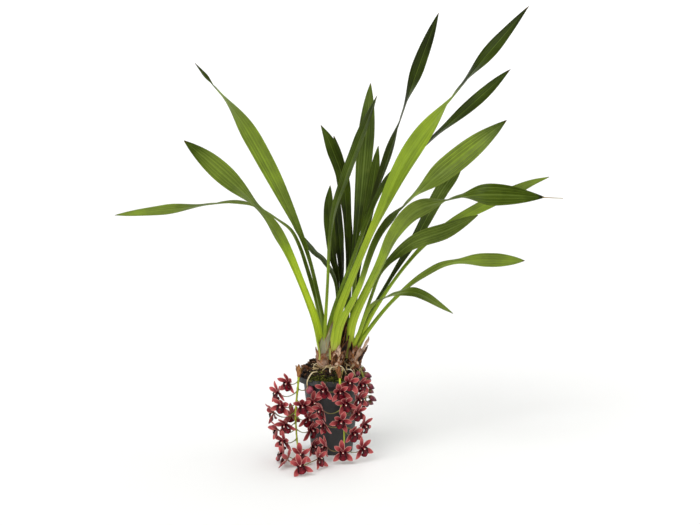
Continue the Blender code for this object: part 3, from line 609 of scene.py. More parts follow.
def sheath_finish():
    """Dry papery scales: long fibres, torn rusty margins and darker points. A tone over OLD_TONE is the
    grey, olive-streaked foot of an old leaf."""
    made = Finish("sheath_brown", specular_ior_level=0.2, roughness=0.72)
    fibre, streak = made.fibres(46, 2.0, 5, 0.6), made.fibres(17, 1.2)
    tone = made.mark("tone")
    value = made.varied(made.varied(tone, fibre, 0.22), made.noise(75), 0.12, low=0.35, high=0.65)
    dry = made.ramp(value, (0.0, "0c0705"), (0.22, "38200f"), (0.42, "905a34"), (0.6, "a08776"),
                    (0.8, "cfae95"), (1.0, "ead6bc"))
    old = made.ramp(made.varied(made.between(streak, 0.3, 0.7), fibre, 0.2), (0.0, "64565a"),
                    (0.35, "8c8372"), (0.6, "9ea074"), (0.85, "b4b58c"))
    body = made.mix(made.between(tone, OLD_TONE, OLD_TONE + 0.2), dry, old)
    body = made.mix(made.between(made.from_rib(), 0.40, 0.5, 0, 0.7), body, "b3773f")
    body = made.mix(made.between(made.along(), 0.8, 1.0, 0, 0.45), body, "4a2a18")
    return made.done(body, fibre, 0.0007, 0.7)


def bract_finish():
    """Bracts on the spikes: thin, rusty and torn."""
    made = Finish("bract_rust", specular_ior_level=0.2, roughness=0.7)
    fibre = made.fibres(22, 2.0, 4, 0.6)
    body = made.ramp(made.varied(made.mark("tone"), fibre, 0.25), (0.0, "3a2014"), (0.35, "81502f"),
                     (0.6, "a87646"), (0.8, "c29c66"), (1.0, "a5a452"))
    return made.done(body, fibre, 0.0005, 0.6)


def leaf_finish(settings):
    """Leathery strap leaves: lime stalks with painted shade at their edges, deep blades, pale midrib and
    parallel veins, dull below.
    """
    made = Finish("leaf_green", specular_ior_level=0.30, ior=1.22)
    tone, side = made.mark("tone"), made.mark("side")
    rib, along = made.from_rib(), made.along()
    blade, cloud = made.between(along, 0.3, 0.6), made.noise(14)
    vein, stripe = made.fibres(70, 1.2, 2, 0.5), made.fibres(26, 0.8, 3, 0.6)
    major = made.between(made.maths("SINE", made.times(rib, MAJOR_VEIN_RATE)), 0.5, 1.0, 0, 0.10)
    value = made.maths("ADD", tone, made.between(vein, 0.3, 0.7, 0.07, -0.07))
    depth = made.between(along, 0.1, 0.5, 0.20, 0.05)
    value = made.maths("ADD", value, made.times(made.between(stripe, 0.35, 0.65, -1, 1), depth))
    value = made.varied(value, cloud, 0.08, low=0.35, high=0.65)
    value = made.maths("SUBTRACT", value, made.times(major, blade))
    # painted shade: the deep end of this ramp is also where the back leaves' shaded tones land
    upper = made.ramp(value, (0.0, settings.stalk), (0.25, "96b22a"), (0.5, settings.blade),
                      (0.75, "384806"), (1.0, settings.deep))
    spot = made.between(made.noise(55, detail=4, rough=0.7), 0.64, 0.74, 0, 0.4)
    keel = made.times(made.between(rib, 0.0, 0.07, 0.5, 0), made.between(along, 0.2, 0.45, 1, 0))
    # painted shade: the stalk is darkened to olive towards both edges, where it rolls away from the light
    stalk_edge_shade = made.times(made.between(rib, 0.25, 0.5, 0, 0.5), made.between(along, 0.25, 0.5, 1, 0))
    foot = made.between(made.varied(along, cloud, 0.02), 0.0, 0.05, 0.55, 0)
    tip = made.between(made.varied(along, cloud, 0.006), 0.986, 0.996, 0, 0.85)
    body = upper
    for share, shade in (
        (made.times(side, made.between(tone, 0.2, 0.9, 0.32, 0.06)), settings.underside),
        (made.times(made.between(rib, 0.0, 0.018, 0.38, 0), blade), "8fa650"),  # the midrib
        (keel, "cfdc62"),
        (stalk_edge_shade, "55701a"),
        (made.times(made.between(rib, 0.482, 0.5, 0, 0.45), blade), "5d4c22"),  # the margin
        (made.times(spot, made.between(tone, 0.0, 0.7, 1, 0.2)), "857a2c"),
        (foot, "b9b06a"),
        (tip, "4a3518"),
        (made.between(tone, 1.25, 1.5), "8f7432"),  # dry parts
    ):
        body = made.mix(share, body, shade)
    made.set("Roughness", made.between(side, 0, 1, settings.gloss, settings.gloss + 0.2))
    return made.done(body, vein, 0.0004, 0.35)


def stem_finish():
    """Spike and flower stalks: lime along the axis, olive and then tawny towards the flowers."""
    made = Finish("stem_lime", specular_ior_level=0.4, roughness=0.45)
    streak = made.fibres(9, 14)
    body = made.ramp(made.varied(made.mark("tone"), streak, 0.08), (0.0, "c3d434"), (0.25, "a3b531"),
                     (0.5, "7d8038"), (0.75, "7a6540"), (1.0, "6e3a2c"))
    return made.done(body, streak, 0.0002, 0.4)


def tepal_finish(settings):
    """Brick petals and sepals: a wine heart, veins, a thin pale margin, duller and pinker outside."""
    made = Finish("flower_brick", specular_ior_level=0.2, roughness=0.5, sheen_weight=0.08)
    side, along, rib = made.mark("side"), made.along(), made.from_rib()
    vein = made.fibres(30, 2.2)
    value = made.maths("ADD", made.varied(along, vein, 0.18), made.mark("tone"))
    front = made.ramp(value, (0.08, settings.heart), (0.36, "7f2029"), (0.66, settings.tepal),
                      (1.0, "ba5a59"))
    back = made.ramp(value, (0.0, "8a5340"), (0.25, "9c4946"), (0.7, "a84a50"), (1.0, "a34650"))
    keel = made.times(made.between(rib, 0.0, 0.06, 1, 0), made.between(along, 0.2, 0.9, 0.55, 0))
    body = made.mix(made.times(keel, side), made.mix(side, front, back), "86613f")
    body = made.mix(made.between(rib, 0.38, 0.47, 0, 0.85), body, settings.margin)
    return made.done(body, vein, 0.0004, 0.6)


def lip_finish(settings):
    """The lip: almost black maroon, waxy, with a painted highlight down its middle, and brighter on its front
    lobe.
    """
    made = Finish("lip_maroon", specular_ior_level=0.3, roughness=0.22, ior=1.35)
    # painted highlight: lighter towards the midline, where the gloss catches
    value = made.between(made.from_rib(), 0.0, 0.4, 0.55, 0.1)
    value = made.varied(value, made.along(), -0.15, 0.2, 0.4, 0.9)
    value = made.varied(value, made.noise(260), 0.2)
    body = made.ramp(value, (0.0, "240207"), (0.5, settings.lip), (1.0, "8e1024"))
    return made.done(body, made.noise(900), 0.0002, 0.4)


def column_finish():
    """The column: wine at its foot and sides, flushed pink towards the cap."""
    made = Finish("column_rose", specular_ior_level=0.4, roughness=0.4)
    value = made.varied(made.along(), made.noise(420), 0.15)
    return made.done(made.ramp(value, (0.0, "4a0c16"), (0.7, "7a1f2a"), (1.0, "b4655f")))


def cap_finish():
    """The anther cap: ivory with a faint blush."""
    made = Finish("anther_ivory", specular_ior_level=0.5, roughness=0.35)
    return made.done(made.ramp(made.noise(700), (0.35, "f7ead8"), (0.75, "edc9b4")))


def bud_finish():
    """Closed buds: wine flushed with olive at the foot and dark along the seams."""
    made = Finish("bud_wine", specular_ior_level=0.4, roughness=0.42)
    streak = made.fibres(12, 1.5)
    value = made.varied(made.along(), streak, 0.22)
    dark = made.ramp(value, (0.0, "6d6a30"), (0.25, "6e4434"), (0.55, "7c2c3c"), (0.85, "54182a"),
                     (1.0, "2a0812"))
    rosy = made.ramp(value, (0.0, "8d8a48"), (0.2, "9a4450"), (0.7, "a64a5c"), (0.95, "4a0c18"),
                     (1.0, "300810"))
    return made.done(made.mix(made.mark("tone"), dark, rosy), streak, 0.0003, 0.4)


# ---- Pot -----------------------------------------------------------------------------------------

POT_COLUMNS = 192
SLOT_COLUMNS = 6  # the columns that a drain slot spans
SLOT_ROWS = (2, 6)  # the profile's rows at the slots, counted from either end
HOLLOW_RADIUS = 0.028  # the middle of the base stands off the floor
HOLLOW_RISE = 0.0012
SLOT_MIDDLE_RADIUS = 0.037  # half way along a slot under the base
NECK_ROUND, STEP_ROUND, RIM_ROUND = 0.0012, 0.0015, 0.0009  # the radii of the wall's rounded corners


def arc(centre, radius, start, end, steps):
    """Profile points on a circle, from one angle to the other, in degrees."""
    angle = np.radians(np.linspace(start, end, steps))
    return [(centre[0] + radius * math.cos(a), centre[1] + radius * math.sin(a)) for a in angle]


def pot_profile():
    """The pot's wall as points (radius, height): under the base, up the outside, round the rim and down the
    inside, with the same rows on both faces at the drain slots."""
    shoulder = POT_HEIGHT - COLLAR_HEIGHT
    step = shoulder + POT_WALL
    slope = (BODY_TOP_RADIUS - BASE_RADIUS) / shoulder
    inside, foot = RIM_RADIUS - POT_WALL, BASE_RADIUS - POT_WALL
    levels = np.linspace(DRAIN_HEIGHT, shoulder - 0.003, 22)[1:]
    return [
        (0, HOLLOW_RISE), (HOLLOW_RADIUS, HOLLOW_RISE), (DRAIN_INNER_RADIUS, 0), (SLOT_MIDDLE_RADIUS, 0),
        (BASE_RADIUS - 0.001, 0), (BASE_RADIUS, 0.001), (BASE_RADIUS + slope * DRAIN_HEIGHT, DRAIN_HEIGHT),
        *((BASE_RADIUS + slope * z, z) for z in levels),
        *arc((BODY_TOP_RADIUS + NECK_ROUND, shoulder - NECK_ROUND), NECK_ROUND, 175, 90, 4),
        *arc((RIM_RADIUS - STEP_ROUND, shoulder + STEP_ROUND), STEP_ROUND, -90, 0, 5),
        (RIM_RADIUS - 0.0003, shoulder + 0.0045), (RIM_RADIUS, POT_HEIGHT - 0.0022),
        *arc((RIM_RADIUS - RIM_ROUND, POT_HEIGHT - RIM_ROUND), RIM_ROUND, 0, 180, 7),
        (inside, POT_HEIGHT - 0.004), (inside, step + STEP_ROUND), (inside - STEP_ROUND, step),
        (BODY_TOP_RADIUS - POT_WALL, step),
        *((foot + slope * z, z) for z in levels[::-1]),
        (foot + slope * DRAIN_HEIGHT, DRAIN_HEIGHT), (foot, POT_FLOOR + 0.001), (foot - 0.001, POT_FLOOR),
        (SLOT_MIDDLE_RADIUS, POT_FLOOR), (DRAIN_INNER_RADIUS, POT_FLOOR), (HOLLOW_RADIUS, POT_FLOOR),
        (0, POT_FLOOR),
    ]


def plain_grid(points):
    """A grid from its points alone, with no tone."""
    rows, columns = points.shape[:2]
    uv = np.stack(np.meshgrid(np.linspace(0, 1, columns), np.linspace(0, 1, rows)), axis=-1)
    return Grid(points, uv, np.zeros((rows, columns)), np.zeros((rows, columns)), 0)


def slot_walls(outer, inner):
    """The four walls of each drain slot: quads between the outer and the inner profile points, at the
    slot's first and last column, and across it at its head and its inner end."""
    def at(rows, angle):
        x, y = rows[..., 0] * np.cos(angle), rows[..., 0] * np.sin(angle)
        return np.stack([x, y, rows[..., 1] + 0 * x], -1)

    grids = []
    for k in range(DRAIN_COUNT):
        start = (k + 0.5) * POT_COLUMNS / DRAIN_COUNT - SLOT_COLUMNS / 2
        turn = 2 * math.pi * (start + np.arange(SLOT_COLUMNS + 1)) / POT_COLUMNS
        sides = [np.stack([at(outer, turn[end]), at(inner, turn[end])], axis=1) for end in (0, -1)]
        ends = [np.stack([at(outer[end], turn), at(inner[end], turn)]) for end in (0, -1)]
        grids += [plain_grid(points) for points in (*sides, *ends)]
    return grids


def pot_grids():
    """The profile turned about +Z, without the cells at the drain slots, and the walls of the slots."""
    profile = np.array(pot_profile())
    whole = turned(profile, POT_COLUMNS)[:4]
    last = len(profile) - 1
    first, past = SLOT_ROWS
    edges = [0]
    for k in range(DRAIN_COUNT):
        start = int((k + 0.5) * POT_COLUMNS / DRAIN_COUNT - SLOT_COLUMNS / 2)
        edges += [start, start + SLOT_COLUMNS]
    spans = [*zip(edges[::2], [*edges[1::2], POT_COLUMNS])]
    everywhere = [(0, POT_COLUMNS)]
    grids = []
    for top, bottom, columns in (
        (0, first, everywhere), (past, last - past, everywhere), (last - first, last, everywhere),
        (first, past, spans), (last - past, last - first, spans),
    ):
        for left, right in columns:
            grids.append(Grid(*(a[top : bottom + 1, left : right + 1] for a in whole), 0))
    slot = np.arange(first, past + 1)
    return grids + slot_walls(profile[slot], profile[last - slot])


# ---- Potting mix, moss and roots -----------------------------------------------------------------

CHIP_SIZE = (0.0062, 0.0040, 0.0021)  # half of a large chip along each axis; the others are smaller
STRAND_SIZE = (0.0058, 0.0019, 0.0052)  # how far a strand reaches, its width and its rise
MOSS_SHARE = 0.84  # of the strands, along the rim; the others are in tufts
TUFTS = ((-0.030, -0.042), (0.010, -0.050), (-0.020, -0.050), (0.030, -0.046), (0.052, 0.022),
         (-0.020, 0.048))
TUFT_SPREAD = 0.0065
MAT_THICKNESS = 0.0035
BARK_REACH = 0.0685  # how far out the crown falls to its ledge
# height, x, y and spread of the heap at the back on the left, and of the dip at the rim on the left
HEAP = (0.011, -0.030, 0.028, 0.020)
DIP = (0.010, -0.060, 0.004, 0.013)


def mound(x, y, height, at_x, at_y, wide):
    """A round mound: its height times the bell exp(-distance^2 / (2 wide^2))."""
    return height * np.exp(-((x - at_x) ** 2 + (y - at_y) ** 2) / (2 * wide**2))


def mix_height(x, y):
    """The height of the bark: a low crown that falls with a smooth step to the ledge inside the rim, the
    heap, the dip and lumps."""
    radius = np.hypot(x, y)
    fall = np.clip((radius - 0.050) / (BARK_REACH - 0.050), 0, 1)
    base = CROWN_HEIGHT + (LEDGE_HEIGHT + 0.002 - CROWN_HEIGHT) * fall * fall * (3 - 2 * fall)
    heap, dip = mound(x, y, *HEAP) * (1 - fall), mound(x, y, *DIP) * (1 - fall * 0.6)
    return base + heap - dip + 0.0012 * lumps(x, y, 0.018, 5)


def mix_body():
    """The root ball: the pot's inside turned about +Z, with the crown's height on top."""
    floor = POT_FLOOR + DRAIN_HEIGHT
    shoulder = POT_HEIGHT - COLLAR_HEIGHT + POT_WALL + GAP
    neck = BODY_TOP_RADIUS - POT_WALL - GAP
    rim = RIM_RADIUS - POT_WALL - GAP
    low = [(0, floor), (BASE_RADIUS - POT_WALL, floor), (neck, shoulder - 0.001), (neck, shoulder),
           (rim, shoulder)]
    top = [(rim * (1 - k / 20), LEDGE_HEIGHT) for k in range(21)]

    def crowned(ring):
        on_top = ring[len(low):]
        on_top[..., 2] = mix_height(on_top[..., 0], on_top[..., 1])
        return ring

    return turned(low + top, 96, tone=0.12, shift=crowned)


def pebble(rows, columns, seed):
    """A rough chip: a sphere squared off towards a box and dented by a few waves."""
    rise = np.linspace(-math.pi / 2, math.pi / 2, rows)[:, None]
    turn = np.linspace(0, 2 * math.pi, columns + 1)[None, :]

    def squared(value, power=0.6):
        return np.sign(value) * np.abs(value) ** power

    x = squared(np.cos(rise)) * squared(np.cos(turn))
    y = squared(np.cos(rise)) * squared(np.sin(turn))
    z = squared(np.sin(rise), 0.7) * np.ones_like(turn)
    dent = 1 + 0.16 * lumps(x + z, y - z, 1.6, seed)
    points = np.stack([x, y, z], axis=-1) * dent[..., None]
    points[:, -1] = points[:, 0]
    points[0], points[-1] = points[0, 0], points[-1, 0]
    return plain_grid(points)


def chip_grids(count, rng):
    """Bark chips strewn over the crown, lying more or less flat, small ones between large ones."""
    grids = []
    for kind in range(4):
        n = count // 4
        radius = 0.0665 * np.sqrt(rng.uniform(0, 1, n))
        azimuth = rng.uniform(0, 2 * math.pi, n)
        x, y = radius * np.cos(azimuth), radius * np.sin(azimuth)
        size = rng.uniform(0.45, 1.0, n)[:, None] * np.array(CHIP_SIZE) * rng.uniform(0.75, 1.25, (n, 3))
        size = size * np.clip((0.0672 - radius) / size[:, 0], 0.25, 1)[:, None]
        z = mix_height(x, y) + rng.uniform(-0.0008, 0.0030, n)
        turns = turns_of(rng.uniform(0, 2 * math.pi, n), rng.normal(0, 0.35, n), rng.normal(0, 0.4, n))
        tones = rng.uniform(0.05, 0.75, n) ** 1.3
        grids.append(scattered(pebble(6, 8, 20 + kind), np.stack([x, y, z], -1), turns, size, tones))
    return grids


def strand():
    """One moss strand: a narrow pointed sheet that arches over, one unit long."""
    u, v = lattice(5, 3)
    half = 0.5 * (1 - u) ** 0.7 * (0.4 + 1.6 * u * (1 - u))
    z = 0.9 * u * (1 - 0.62 * u) + 0.25 * half * v * v
    return sheet(np.stack([u * np.ones_like(v), half * v, z], -1), 0.05, (v + 1) / 2, u)


def moss_grids(count, rng):
    """Strands of moss in a mat along the front of the rim and in a few tufts on the bark."""
    main = int(count * MOSS_SHARE)
    azimuth = np.radians(rng.uniform(MOSS_FROM - 6, MOSS_TO + 14, main))
    radius = rng.uniform(0.0585, BARK_REACH, main)
    pick = rng.integers(0, len(TUFTS), count - main)
    spots = np.array(TUFTS)[pick] + rng.normal(0, TUFT_SPREAD, (count - main, 2))
    x = np.concatenate([radius * np.cos(azimuth), spots[:, 0]])
    y = np.concatenate([radius * np.sin(azimuth), spots[:, 1]])
    z = mix_height(x, y) + rng.uniform(-0.0005, 0.0032, count)
    outward = np.arctan2(y, x) + rng.normal(0, 1.5, count)
    size = rng.uniform(0.55, 1.25, count)[:, None] * np.array(STRAND_SIZE)
    turns = turns_of(outward, rng.normal(-0.1, 0.5, count), rng.normal(0, 0.5, count))
    tones = np.clip(rng.normal(0.30, 0.30, count), 0, 1)
    return [scattered(strand(), np.stack([x, y, z], -1), turns, size, tones)]


def moss_mat():
    """The mat under the strands: a domed strip around the front of the rim."""
    turn = np.radians(np.linspace(MOSS_FROM, MOSS_TO, 40))[:, None]
    radius = np.linspace(LEDGE_INNER, RIM_RADIUS - POT_WALL - 2 * GAP, 9)[None, :]
    x, y = radius * np.cos(turn), radius * np.sin(turn)
    z = LEDGE_HEIGHT + 0.0030 + 0.0010 * lumps(x, y, 0.006, 8)
    return sheet(np.stack([x, y, z], -1), MAT_THICKNESS, radius / RIM_RADIUS, turn * 0, 0.12)


def rim_root():
    """The root that lies over the rim: the route of its solid, with a slowly changing thickness."""
    clear = ROOT_RADIUS + GAP * 3
    route = [polar(radius, ROOT_AZIMUTH + turn, height) for radius, turn, height in (
        (CROWN_RADIUS - 0.012, 3, CROWN_HEIGHT + clear), (CROWN_RADIUS, 1, CROWN_HEIGHT + clear),
        (RIM_RADIUS - 0.003, 0, POT_HEIGHT + clear + 0.003),
        (RIM_RADIUS + clear + 0.001, 0, POT_HEIGHT - 0.004),
        (RIM_RADIUS + clear + 0.001, 1, POT_HEIGHT - ROOT_DROP),
    )]
    share = np.linspace(0, 1, 60)
    end = np.minimum(1, 12 * (1.03 - share))
    radius = ROOT_RADIUS * (1 - 0.35 * share) * (1 + 0.08 * np.sin(share * 31)) * end
    return tube(smooth_curve(route)(share), radius, 12, tone=0.80 - 0.35 * share)


def crown_roots(count, rng):
    """Thin roots that wander out of the growths over the bark: each a smooth curve through five points
    that step outwards and turn a little, lifted off the bark in the middle."""
    grids = []
    growths = list(GROWTHS.values())
    share = np.linspace(0, 1, 26)
    for k in range(count):
        growth = growths[k % len(growths)]
        heading = rng.uniform(0, 2 * math.pi) if k % 3 else rng.uniform(math.pi * 1.15, math.pi * 1.85)
        x, y = growth.x + 0.009 * math.cos(heading), growth.y + 0.009 * math.sin(heading)
        step, bow = rng.uniform(0.004, 0.009), rng.uniform(0.001, 0.014)
        points = []
        for i in range(5):
            lift = bow * math.sin(math.pi * i / 4) + 0.0016
            points.append((x, y, float(mix_height(x, y)) + lift))
            heading += rng.normal(0, 0.55)
            x, y = x + step * math.cos(heading), y + step * math.sin(heading)
            limit = min(1.0, 0.0655 / math.hypot(x, y))
            x, y = x * limit, y * limit
        thick = rng.uniform(0.0007, 0.0018)
        radius = thick * (1 - 0.5 * share) * (1 + 0.1 * np.sin(share * rng.uniform(15, 30)))
        grids.append(tube(smooth_curve(points)(share), radius, 7, tone=rng.uniform(0.30, 1.0)))
    return grids


# ---- Growths -------------------------------------------------------------------------------------

SCALE_THICKNESS = 0.00035
SCALES_AROUND = 10  # the ordinary scales of a growth, each a golden turn from the last
GOLDEN_TURN = 2.4
# the scales that stand out: azimuth in degrees, rise, half angle, flare, tone, lean
BRACTS = {
    "left": ((290, 0.100, 1.0, 0.02, 1.4, 0.16), (245, 0.074, 1.1, 0.03, 1.35, 0.06),
             (200, 0.046, 1.2, 0.05, 0.50, -0.12), (330, 0.082, 1.1, 0.04, 1.3, 0.22),
             (265, 0.036, 1.3, 0.10, 0.56, 0.02), (310, 0.040, 1.2, 0.10, 0.50, 0.06),
             (60, 0.090, 1.4, 0.03, 0.25, 0.10)),
    "middle": ((222, 0.054, 1.1, 0.10, 0.86, 0.42), (240, 0.046, 0.8, 0.16, 0.74, 0.20),
               (285, 0.064, 0.9, 0.06, 0.10, 0.30), (325, 0.090, 0.5, 0.02, 0.02, 0.14),
               (345, 0.072, 0.8, 0.04, 0.04, 0.20), (170, 0.060, 1.0, 0.10, 0.40, 0.0),
               (305, 0.042, 1.0, 0.16, 0.18, 0.10), (30, 0.080, 1.2, 0.06, 0.06, 0.16)),
    "right": ((262, 0.050, 1.2, 0.06, 0.50, 0.05), (345, 0.066, 1.3, 0.06, 0.80, 0.34),
              (300, 0.048, 0.9, 0.10, 0.70, 0.16), (5, 0.046, 0.8, 0.30, 0.12, 0.20),
              (322, 0.044, 0.8, 0.34, 0.10, 0.15), (230, 0.044, 0.8, 0.10, 0.40, 0.0),
              # the near-black wide scale at 190 degrees fills the gap towards the middle growth: partly dark
              # sheath, partly painted shade
              (190, 0.082, 1.2, 0.04, 0.02, 0.02), (215, 0.070, 0.9, 0.03, 0.10, 0.10)),
    "back_right": ((240, 0.090, 1.0, 0.04, 0.02, 0.05), (30, 0.060, 1.1, 0.12, 0.35, 0.10),
                   (180, 0.085, 1.2, 0.03, 0.06, 0.0)),
    "back_left": ((230, 0.085, 1.2, 0.04, 0.12, -0.03), (120, 0.060, 1.0, 0.10, 0.30, -0.06),
                  (300, 0.088, 1.2, 0.04, 0.04, 0.05)),
}


def growth_radius(share):
    """The shoot's radius at a share of its height, straight between GROWTH_RADII."""
    at, radius = np.array(GROWTH_RADII).T
    return np.interp(share, at, radius)


def growth_body(growth):
    """The swollen shoot under its scales: the solid's radii turned about its axis, drawn in on top."""
    share = np.linspace(0, 1, 16)
    profile = [(0, 0)] + [(r * 0.9, s * GROWTH_HEIGHT) for s, r in zip(share, growth_radius(share))]
    profile += [(0.004, GROWTH_HEIGHT + 0.002), (0, GROWTH_HEIGHT + 0.002)]
    place = Matrix.Translation((growth.x, growth.y, CROWN_HEIGHT + GAP))
    return moved(turned(profile, 28, tone=0.2), place)


def scale_grid(growth, azimuth, rise, wide, flare, tone, rng, lean=0.0):
    """One papery scale: its half angle around the shoot shrinks from its foot to a torn point while it
    stands off the shoot more and more, and leans along X; fine waves crumple it."""
    u, v = lattice(34, 17)
    height = rise * u
    free = np.maximum(height - 0.5 * GROWTH_HEIGHT, 0)
    radius = growth_radius(np.clip(height / GROWTH_HEIGHT, 0, 1)) + 0.0012 + flare * free
    half = wide * (1 - u**2.2) ** 0.8 * (1 + 0.12 * np.sin(u * 23 + rng.uniform(0, 6)) * u)
    shred = 1 + 0.05 * np.sin(v * rng.uniform(7, 11) + rng.uniform(0, 6)) * u**6
    crumple = 0.0009 * lumps(u * 0.03 + rng.uniform(0, 9), v * 0.012, 0.010, int(rng.integers(99)))
    radius = radius + crumple + 0.0010 * v * v * u + flare * 0.010 * u**4
    angle = azimuth + half * v + 0.35 * u * u * rng.uniform(-1, 1)
    points = np.stack([growth.x + radius * np.cos(angle) + lean * free, growth.y + radius * np.sin(angle),
                       CROWN_HEIGHT + GAP + height * shred], -1)
    return sheet(points, SCALE_THICKNESS, (v + 1) / 2, u, tone + 0.25 * (u - 0.5) * rng.uniform(-1, 1))


def growth_grids(name, growth, rng):
    """The shoot, its ordinary scales all around, and the ones that stand out."""
    grids = [growth_body(growth)]
    for k in range(SCALES_AROUND):
        azimuth = k * GOLDEN_TURN + rng.uniform(-0.3, 0.3)
        sizes = [rng.uniform(*ends) for ends in ((0.35, 1.25), (0.7, 1.4), (0.02, 0.22), (0.10, 0.65))]
        grids.append(scale_grid(growth, azimuth, sizes[0] * GROWTH_HEIGHT, *sizes[1:], rng))
    for azimuth, *sizes, lean in BRACTS[name]:
        grids.append(scale_grid(growth, math.radians(azimuth), *sizes, rng, lean))
    return grids


# ---- Leaves --------------------------------------------------------------------------------------

SHEATH_DEPTH = 0.016  # how far a leaf's foot reaches down inside the scales
FOOT_CURL = 3.1  # how far the foot, the stalk and the blade are rolled across, in radians
STALK_CURL = 1.9
BLADE_CURL = -0.35
FOLD = 0.20  # half of the fold at the midrib, in radians
PLEATS = 3.5  # on each side of the midrib
PLEATED_HALF = 0.018  # the half width at which a pleat has its full depth
RIB_HALF = 0.0016  # half of the thick midrib's width


def leaf_width(leaf, share):
    """The unrolled width: the foot narrows to the stalk, the blade swells and then runs to a point."""
    past = np.clip((share - leaf.widest) / (leaf.tail - leaf.widest), 0, 1)
    tip = LEAF_TIP_WIDTH + (leaf.width - LEAF_TIP_WIDTH) * (1 - past**2.5)
    pairs = ((0, leaf.foot), (STALK_SHARE, leaf.stalk), (leaf.widest, leaf.width))
    return np.where(share >= leaf.widest, tip, eased(pairs, share))


def leaf_grid(leaf, start, top, settings, rng):
    """A leaf: along its route, each cross-section is an arc folded at the midrib. The angle across the
    section is the fold plus a curl that grows from the midrib, and its running sum gives the section.
    Pleats follow the veins, long waves ruffle the margins, and the thickness is greatest at the rib."""
    curve = smooth_curve([start, *(top + leaf.route)])
    share = np.linspace(-SHEATH_DEPTH / curve.length, 1, settings.rows)
    centre = curve(np.clip(share, 0, 1))
    centre[:, 2] += np.minimum(share, 0) * curve.length
    along = unit(np.gradient(centre, axis=0))
    depth = unit(np.array([0, 1, 0]) - along[:, 1:2] * along)
    roll = np.radians(eased(leaf.rolls, share))[:, None]
    wide = depth * np.cos(roll) + np.cross(along, depth) * np.sin(roll)
    face = np.cross(along, wide)
    s, q = share[:, None], np.linspace(-1, 1, settings.columns)[None, :]
    reach = np.abs(q)
    blade = eased(((STALK_SHARE, 0), (leaf.widest * 0.85, 1)), s)
    half = leaf_width(leaf, s) / 2
    wave = rng.uniform(0, 6.28, 4)
    curl = eased(((0, FOOT_CURL), (0.22, STALK_CURL), (leaf.widest * 0.8, BLADE_CURL)), s)
    curl = curl + 0.12 * blade * np.sin(s * 9 + wave[0]) + 0.02
    fold = FOLD * (1 + 0.5 * (1 - blade))
    x = half * np.sign(q) * (np.sin(fold + curl * reach / 2) - np.sin(fold)) / (curl / 2)
    y = half * (np.cos(fold) - np.cos(fold + curl * reach / 2)) / (curl / 2)
    ends = np.clip((1 - s) / 0.06, 0, 1)
    pleat = np.cos(reach * 2 * math.pi * PLEATS) * (1 - reach**4) * blade * ends
    y = y + settings.vein_depth * pleat * half / PLEATED_HALF
    ruffle = np.sin(s * 26 + wave[1] + q * 0.8) + 0.6 * np.sin(s * 47 + wave[2] - q)
    y = y + 0.030 * half * reach**3 * ruffle * blade * np.sign(q + 0.3 * np.sin(wave[3]))
    points = centre[:, None] + wide[:, None] * x[..., None] + face[:, None] * y[..., None]
    rib = np.exp(-((q * half / RIB_HALF) ** 2))
    body = 0.0005 + 0.0009 * (1 - blade) + rib * (0.0009 + 0.0006 * (1 - blade))
    thick = body * (0.25 + 0.75 * np.sqrt(np.clip(1 - reach**6, 0, 1))) * np.clip(0.25 + ends, 0, 1)
    points = points - face[:, None] * (rib * 0.0004)[..., None]
    tone = eased(leaf.tones, s) + 0.03 * np.sin(s * 21 + wave[0])
    return sheet(points, thick, (q + 1) / 2, s, tone)


# ---- Spikes and flowers --------------------------------------------------------------------------

HANG = RIM_RADIUS + RIM_CLEARANCE  # how far from the pot's axis the spikes hang
OVER = POT_HEIGHT + RIM_LIFT + 0.009  # how high they come over the rim
LANDING = polar(HANG + 0.004, 214, 0)
TEPAL_THICKNESS = 0.0007
LIP_THICKNESS = 0.0006
BRACT_THICKNESS = 0.0003
# the slots of a spike's materials after its stem's; a flower's own slots are its petals' and then the same
LIP, COLUMN, CAP, TEPAL, BUD, BRACT = range(1, 7)


def route(radius, azimuth, *places):
    """A spike's points: straight up out of the mix, and then the places (radius, azimuth, height)."""
    foot = CROWN_HEIGHT + GAP
    return [polar(*p) for p in ((radius, azimuth, foot), (radius, azimuth, foot + STEM_RISE), *places)]


